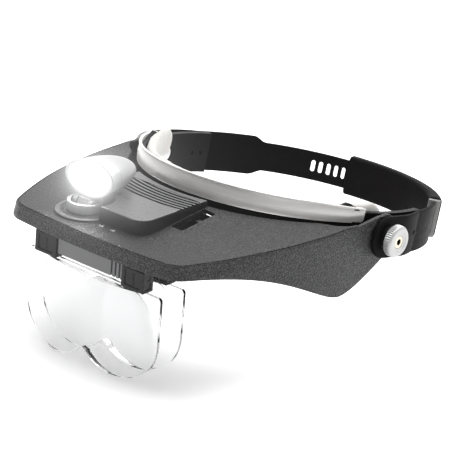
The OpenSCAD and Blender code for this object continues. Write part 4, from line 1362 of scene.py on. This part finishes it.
def pad_rings(shrink=0.0):
    """Sections of the foam pad, with round ends."""
    path = band_path(-76, 84, -7.7)
    length = path.s[-1]
    half_h, half_t = 9.6 - shrink, 3.6 - shrink
    rings = []
    spots = [0, 0.4, 1.2, 2.4, 4, 6, 8]
    for s in spots + list(np.arange(10.5, length - 10.5, 3.0)) + [length - q for q in spots[::-1]]:
        end = min(s, length - s) + 0.02
        grow = math.sqrt(max(0.0, 1 - (1 - min(end, 9.0) / 9.0) ** 2))
        thin = 0.35 + 0.65 * math.sqrt(max(0.0, 1 - (1 - min(end, 4.0) / 4.0) ** 2))
        x, y = (float(v) for v in path(s, 0))
        front = float(smooth((y + 38) / -8))
        lift = -0.6 - 1.5 * x / BAND_HALF_W - 3.6 * float(smooth((y + 18) / -44))
        ring = []
        for i in range(24):
            a = 2 * math.pi * i / 24
            c, sn = math.cos(a), math.sin(a)
            d = half_t * thin * math.copysign(abs(c) ** 0.62, c)
            z = lift + half_h * (0.25 + 0.75 * grow) * math.copysign(abs(sn) ** 0.75, sn)
            roll = float(smooth((z - 3.6) / 1.6)) * front
            ring.append((d + 2.1 * roll * max(0.0, c), z))
        rings.append(band_profile(path, s, ring))
    return rings


def make_pad():
    """Foam brow pad: swollen by a short cloth simulation inside the room its frame leaves."""
    pad = loft("pad", pad_rings(0.7))
    remesh = pad.modifiers.new("even", "REMESH")
    remesh.mode = "VOXEL"
    remesh.voxel_size = 2.6 * MM
    baked(pad)
    rest = np.array([v.co for v in pad.data.vertices])
    cloth = pad.modifiers.new("swell", "CLOTH")
    cloth.settings.use_pressure = True
    cloth.settings.uniform_pressure_force = 4
    cloth.settings.effector_weights.gravity = 0
    cloth.settings.quality = 5
    cloth.settings.mass = 0.15
    cloth.settings.tension_stiffness = 20
    cloth.settings.compression_stiffness = 20
    cloth.point_cache.frame_start, cloth.point_cache.frame_end = 1, 20
    for step in range(1, 21):
        bpy.context.scene.frame_set(step)
    baked(pad)
    bpy.context.scene.frame_set(1)
    now = np.array([v.co for v in pad.data.vertices])
    shift = now - rest
    far = np.linalg.norm(shift, axis=1)
    shift *= np.minimum(1, 0.7 * MM / np.maximum(far, 1e-9))[:, None]
    pad.data.vertices.foreach_set("co", (rest + shift).ravel())
    pad.data.update()
    soft = pad.modifiers.new("soft", "SUBSURF")
    soft.levels = soft.render_levels = 1
    baked(pad)
    pad.data.shade_smooth()
    return fix_normals(pad)


def make_sleeve():
    """The rear sleeve's body: a rounded hollow box bent round the back. The latch's pocket and lugs are added by
    make_rear_sleeve.
    """
    path = band_path(132, 195, 1.55)
    length = path.s[-1]
    wide = 11.65
    outer = [(d, PIVOT_ZB + z) for d, z in rounded_box(-3.95, 3.95, -wide, wide, 2.2, 5)]
    inner = [(d, PIVOT_ZB + z) for d, z in rounded_box(-2.25, 0.95, -9, 9, 0.6, 5)]
    rings = []
    mouth = [(0.0, 0.75), (0.25, 0.35), (0.75, 0.0)]

    def shrunk(section, e):
        return [(d - math.copysign(e, d), z - math.copysign(e, z - PIVOT_ZB)) for d, z in section]

    for s, e in mouth:
        rings.append(band_profile(path, s, shrunk(outer, e)))
    for s in np.arange(3, length - 2.5, 2.5):
        rings.append(band_profile(path, s, outer))
    for s, e in mouth[::-1]:
        rings.append(band_profile(path, length - s, shrunk(outer, e)))
    for s in [length] + list(np.arange(length - 2.5, 2, -2.5)) + [0.0]:
        rings.append(band_profile(path, s, inner))
    body = loft("sleeve", rings, closed_path=True)
    return body


def make_rear_sleeve():
    body = make_sleeve()

    def at_rear(angle, d, w):
        a = math.radians(angle)
        x = (END_R + d) * math.sin(a) - w * math.cos(a)
        y = END_Y + (END_R + d) * math.cos(a) + w * math.sin(a)
        return x, y

    def block(angle, d0, d1, w0, w1, z0, z1):
        corners = []
        for z in (z0, z1):
            for d, w in ((d0, w0), (d1, w0), (d1, w1), (d0, w1)):
                corners.append((*at_rear(angle, d, w), PIVOT_ZB + z))
        faces = [(0, 1, 2, 3), (4, 5, 6, 7), (0, 1, 5, 4), (1, 2, 6, 5), (2, 3, 7, 6), (3, 0, 4, 7)]
        return fix_normals(from_points("block", band_to_row(corners), faces))

    slot_at = SLOT_START + 6 * SLOT_STEP
    body = cut(
        body,
        block(slot_at, 1, 9, -2.2, 2.2, -3.6, 3.6),
        bevelled(block(LATCH_AT + 8.5, 3, 9, -8, 9.5, -6.6, 6.6), 0.5),
    )
    lugs = [bevelled(block(LATCH_AT, 4.6, 9.6, -2.4, 2.4, z - 1.2, z + 1.2), 0.7, 3) for z in (-8.2, 8.2)]
    return shade(fix_normals(joined("rear_sleeve_all", [body] + lugs)), 36)


def make_knob(side):
    """Knurled clamping knob: straight knurl, chamfered rims and a stepped face."""
    teeth, depth = 44, 0.42
    per = 6
    n = teeth * per
    xs = [(90.0, 6.5, 0), (90.02, 7.9, 0), (90.2, 8.35, 0), (90.5, 8.62, 0.4), (90.8, 9.0, 1), (91.6, 9.0, 1)]
    xs += [(92.6, 9.0, 1), (93.6, 9.0, 1), (94.0, 8.75, 0.5), (94.35, 8.45, 0)]
    xs += [(94.7, 8.2, 0), (94.92, 7.85, 0), (95.0, 7.4, 0), (95.0, 5.6, 0), (94.93, 5.4, 0), (94.75, 5.3, 0)]
    xs += [(94.75, 4.1, 0), (94.68, 3.75, 0), (94.4, 3.6, 0), (91.4, 3.6, 0), (91.4, 2.06, 0), (90.0, 2.06, 0)]
    rings = []
    for x, r, k in xs:
        ring = []
        for i in range(n):
            a = 2 * math.pi * i / n
            tooth = abs(((i % per) / per) * 2 - 1)
            q = r - depth * k * (1 - tooth) if k else r
            ring.append((side * x, q * math.cos(a), q * math.sin(a)))
        rings.append(ring)
    return shade(loft("knob", rings, closed_path=True), 30)


def make_collar(side):
    """The knob's plain black hub against the strap, with a stepped edge."""

    def place(a, b, h):
        return (side * h, a, b)

    profile = [(2.06, 86.7), (7.0, 86.7), (7.25, 86.95), (7.25, 88.1), (6.9, 88.4)]
    profile += [(6.9, 89.7), (7.3, 90.0), (7.3, 90.3), (2.06, 90.3)]
    return shade(turned("collar", profile, place, 64))


def build_headband():
    slots = [SLOT_START + SLOT_STEP * i for i in range(9)]
    piece(make_strap(1, 160), "strap_l", "strap", "band_black", "headband", "strap_left")
    piece(make_strap(-1, 181, slots), "strap_r", "strap", "band_black", "headband", "strap_right")
    piece(make_cover(), "cover_silver", "silver", "brow_silver", "headband", "brow_cover")
    pad = piece(make_pad(), "pad", "foam", "pad_foam", "headband", "brow_pad")
    brow = carried("brow_frame", 0.5, 3, change=tucked)
    piece(brow, "frame_band", "frame", "band_black", "headband", "brow_frame")
    piece(make_rear_sleeve(), "sleeve", "strap", "band_black", "headband", "rear_sleeve")
    carry_all(
        ("strap_keeper", 0.3, 2, "keeper", "grey", "latch_grey", "headband"),
        ("strap_rivets", 0.4, 3, "rivets", "rivet", "rivet_steel", "headband"),
        ("latch_pin", 0.2, 2, "latch_pin_rod", "steel", "pin_steel", "headband"),
        ("latch_lever", 0.45, 3, "lever", "grey", "latch_grey", "latch"),
        ("pivot_bolts", 0.3, 2, "bolts", "steel", "pin_steel", "headband"),
        ("pivot_washers", 0.08, 1, "washers", "steel", "pin_steel", "headband"),
    )
    for side, word in ((1, "left"), (-1, "right")):
        body = "knob_" + word
        piece(make_knob(side), "clamp_" + word, "nickel", "knob_nickel", body, "knob_" + word)
        piece(make_collar(side), "collar_" + word, "frame", "band_black", body)
        inserts = "knob_inserts_" + word
        piece(carried(inserts, 0.2), "socket_" + word, "brass", "knob_brass", body, inserts)


# ---------------------------------------------------------------- lenses

LOBE_R, LOBE_X, LOBE_Z = 26.0, 21.5, -36.0
LENS_TOP = -9.5
FLANGE_Y, FLANGE_T = 0.5, 2.2
CAP_R, CAP_X = 30.0, 17.4
BALL_R, BALL_X, BULGE = 95.0, 8.0, 7.6
TAB_X = 31.2


def lens_outline():
    """Front view of a lens plate: straight top, round lobes, a soft notch at the nose."""
    side = LOBE_X + LOBE_R
    fillet = 3.0
    reach = LOBE_R + fillet
    notch_z = LOBE_Z - math.sqrt(reach**2 - LOBE_X**2)
    touch = math.degrees(math.atan2(notch_z - LOBE_Z, -LOBE_X))
    half = arc(side - 2, LENS_TOP - 2, 2, 90, 0, 5)
    half += arc(LOBE_X, LOBE_Z, LOBE_R, 0, touch, 44)
    inner = math.degrees(math.atan2(LOBE_Z - notch_z, LOBE_X))
    half += arc(0, notch_z, fillet, inner, 90, 6)
    return half + [(-x, z) for x, z in half[-2::-1]]


def inside(points, loop):
    """Which points lie inside a loop."""
    x, z = points[:, 0], points[:, 1]
    found = np.zeros(len(points), bool)
    for (x0, z0), (x1, z1) in zip(loop, loop[1:] + loop[:1]):
        crosses = (z0 > z) != (z1 > z)
        with np.errstate(divide="ignore", invalid="ignore"):
            at = (x1 - x0) * (z - z0) / (z1 - z0) + x0
        found ^= crosses & (x < at)
    return found


def pulled_in(loop, d):
    """A loop moved inward by d, for smooth convex outlines that run clockwise or not."""
    p = np.array(loop)
    t = np.roll(p, -1, 0) - np.roll(p, 1, 0)
    t /= np.linalg.norm(t, axis=1)[:, None]
    n = np.stack([-t[:, 1], t[:, 0]], 1)
    area = np.sum(p[:, 0] * np.roll(p[:, 1], -1) - np.roll(p[:, 0], -1) * p[:, 1])
    return p + n * d * (1 if area > 0 else -1)


def relief(name, loop, front, back, spacing, rounding):
    """A closed solid over a loop: front(x, z) shapes its front, with a rounded rim, and its back is flat."""
    rims = [np.array(loop)]
    drops = [rounding]
    for share, drop in ((0.3, 0.32), (1.0, 0.0)):
        rims.append(pulled_in(loop, rounding * share))
        drops.append(rounding * drop)
    lo, hi = rims[0].min(0), rims[0].max(0)
    across, up = np.arange(lo[0], hi[0], spacing), np.arange(lo[1], hi[1], spacing)
    grid = np.stack(np.meshgrid(across, up), -1).reshape(-1, 2)
    keep = inside(grid, [tuple(p) for p in pulled_in(loop, rounding + spacing * 0.6)])
    grid = grid[keep]
    points = np.concatenate(rims + [grid])
    drop = np.concatenate([np.full(len(r), d) for r, d in zip(rims, drops)] + [np.zeros(len(grid))])
    n = len(loop)
    edges = [(k * n + i, k * n + (i + 1) % n) for k in range(len(rims)) for i in range(n)]
    verts, _, faces, _, _, _ = delaunay_2d_cdt([Vector(p) for p in points], edges, [list(range(n))], 1, 1e-7)
    flat = np.array([tuple(v) for v in verts])
    nearest = np.array([np.argmin(row) for row in np.hypot(*(flat[:, None] - points[None]).transpose(2, 0, 1))])
    tops = [(x, front(x, z) + drop[k], z) for (x, z), k in zip(flat, nearest)]
    rim_index = {}
    for i, k in enumerate(nearest):
        if k < n:
            rim_index[k] = i
    count = len(flat)
    bottoms = [(loop[i][0], back, loop[i][1]) for i in range(n)]
    all_faces = [tuple(f) for f in faces]
    all_faces += [(rim_index[i], rim_index[(i + 1) % n], count + (i + 1) % n, count + i) for i in range(n)]
    all_faces.append(tuple(count + i for i in range(n)))
    return fix_normals(from_points(name, tops + bottoms, all_faces))


def cap_outline(side):
    """The magnifying part of one eye: a circle trimmed by the lens outline, up to the nose line."""
    outline = lens_outline()
    inset = [tuple(p) for p in pulled_in(outline, 0.9)]
    centre = np.array((side * CAP_X, LOBE_Z - 1))
    overlap = 0.35
    turns = 2 * np.pi * np.arange(96) / 96
    ways = np.stack([np.cos(turns), np.sin(turns)], 1)
    low, high = np.zeros(96), np.full(96, CAP_R)
    for _ in range(24):
        mid = (low + high) / 2
        spots = centre + ways * mid[:, None]
        ok = (side * spots[:, 0] > -overlap) & inside(spots, inset)
        low, high = np.where(ok, mid, low), np.where(ok, high, mid)
    return [tuple(p) for p in centre + ways * low[:, None]]


def make_lens_plate(y):
    """One clear moulding: a flange with two thick off-centre lenses and two tabs into the clips."""
    flat = slab("lens", [lens_outline()], -FLANGE_T - FLANGE_Y, -FLANGE_Y, 0.35, 2)
    swapped(flat, (0, 2, 1), (1, -1, 1))
    fix_normals(flat)
    parts = []
    for side in (-1, 1):

        def front(x, z, side=side):
            r2 = (x - side * BALL_X) ** 2 + (z - LOBE_Z) ** 2
            return FLANGE_Y - BULGE + BALL_R - math.sqrt(BALL_R**2 - r2)

        parts.append(relief("cap", cap_outline(side), front, FLANGE_Y + 1.1, 2.2, 0.45))
        outline = rounded_box(side * TAB_X - 6, side * TAB_X + 6, LENS_TOP - 1, -4.6, 0.8)
        tab = slab("tab", [outline], -FLANGE_T - FLANGE_Y + 0.02, -FLANGE_Y - 0.02, 0.3)
        swapped(tab, (0, 2, 1), (1, -1, 1))
        parts.append(fix_normals(tab))
    lens = cut(flat, *parts, join=True)
    moved(lens, lambda p: p + np.array([0, y, HINGE_Z]))
    return shade(fix_normals(lens), 24)


def make_clips(y):
    """Two gloss blocks on the hinge pin, each with a framed front and a slot for the plate's tab."""
    blocks = []
    for side in (-1, 1):
        low, high = sorted((side * 23.4, side * 39.0))
        profile = arc(4 - 1.9, 4.6 - 1.9, 1.9, 0, 90, 6) + arc(-4 + 1.9, 4.6 - 1.9, 1.9, 90, 180, 6)
        profile += arc(-4 + 0.6, -8.4 + 0.6, 0.6, 180, 270, 4) + arc(4 - 0.6, -8.4 + 0.6, 0.6, 270, 360, 4)
        block = slab("clip", [profile, circle_loop(0, 0, 1.56, 24)], low, high, 0.4, 3)
        swapped(block, (2, 0, 1))
        fix_normals(block)
        outline = rounded_box(low + 1.4, high - 1.4, -9.4, -4.2, 0.2)
        slot = slab("slot", [outline], FLANGE_Y - 0.1, FLANGE_Y + FLANGE_T + 0.1, 0.05, 1)
        swapped(slot, (0, 2, 1))
        panel = slab("panel", [rounded_box(low + 2.3, high - 2.3, -6.6, 2.3, 0.7)], -5.5, -3.45, 0.3)
        swapped(panel, (0, 2, 1))
        outline = rounded_box(side * TAB_X - 0.5, side * TAB_X + 0.5, -5.6, 1.2, 0.4)
        rib = slab("rib", [outline], -3.8, -3.2, 0.15, 1)
        swapped(rib, (0, 2, 1))
        nick = slab("nick", [rounded_box(-1.6, 2.2, -6.9, -2.9, 0.5)], -0.45, 1, 0.2, 1)
        swapped(nick, (2, 0, 1), (side, 1, 1))
        moved(nick, lambda p, edge=(low if side < 0 else high): p + np.array([edge, 0, 0]))
        block = cut(block, fix_normals(slot), fix_normals(panel), fix_normals(nick))
        stop = slab("stop", [circle_loop(0, 0, 1.58, 24)], *sorted((side * 37.9, side * 38.7)), 0.1, 1)
        swapped(stop, (2, 0, 1))
        blocks += [block, fix_normals(rib), fix_normals(stop)]
    clips = joined("clips", blocks)
    moved(clips, lambda p: p + np.array([0, y, HINGE_Z]))
    return shade(fix_normals(clips), 36)


def deepened(p):
    """A bar's lower edge let down round the pin, within the lens plate's swing."""
    low = smooth((-2.6 - p[:, 2]) / 0.6)
    return p - np.stack([0 * low, 0 * low, 3.2 * low], 1)


def make_hinge_pin(y):
    half, r = 37.8, 1.5

    def place(a, b, h):
        return (h, y + a, HINGE_Z + b)

    side = [(0.01, half), (r - 0.35, half), (r, half - 0.35)]
    profile = [(q, -h) for q, h in side] + side[::-1]
    return shade(turned("hinge_pin", profile, place, 32, closed=False))


def build_lenses():
    for word, y in (("front", HINGE_Y), ("rear", HINGE_Y + LENS_GAP)):
        body = word + "_lens"
        plate = piece(make_lens_plate(y), word + "_plate", "lens", "lens_acrylic", body, word + "_lens_plate")
        plate.visible_shadow = False
        piece(make_clips(y), word + "_clips", "clip", "clip_black", body, word + "_lens_clips")
        piece(make_hinge_pin(y), word + "_pin", "steel", "pin_steel", "visor", word + "_hinge_pin")
        bar = carried(word + "_lens_bar", 0.5, 3, change=deepened)
        piece(bar, word + "_bar", "bar", "bar_grey", "visor", word + "_lens_bar")


# ---------------------------------------------------------------- all together

make_camera()
make_stage()
make_glow()
build_visor()
build_housing()
build_lamp()
build_headband()
build_lenses()
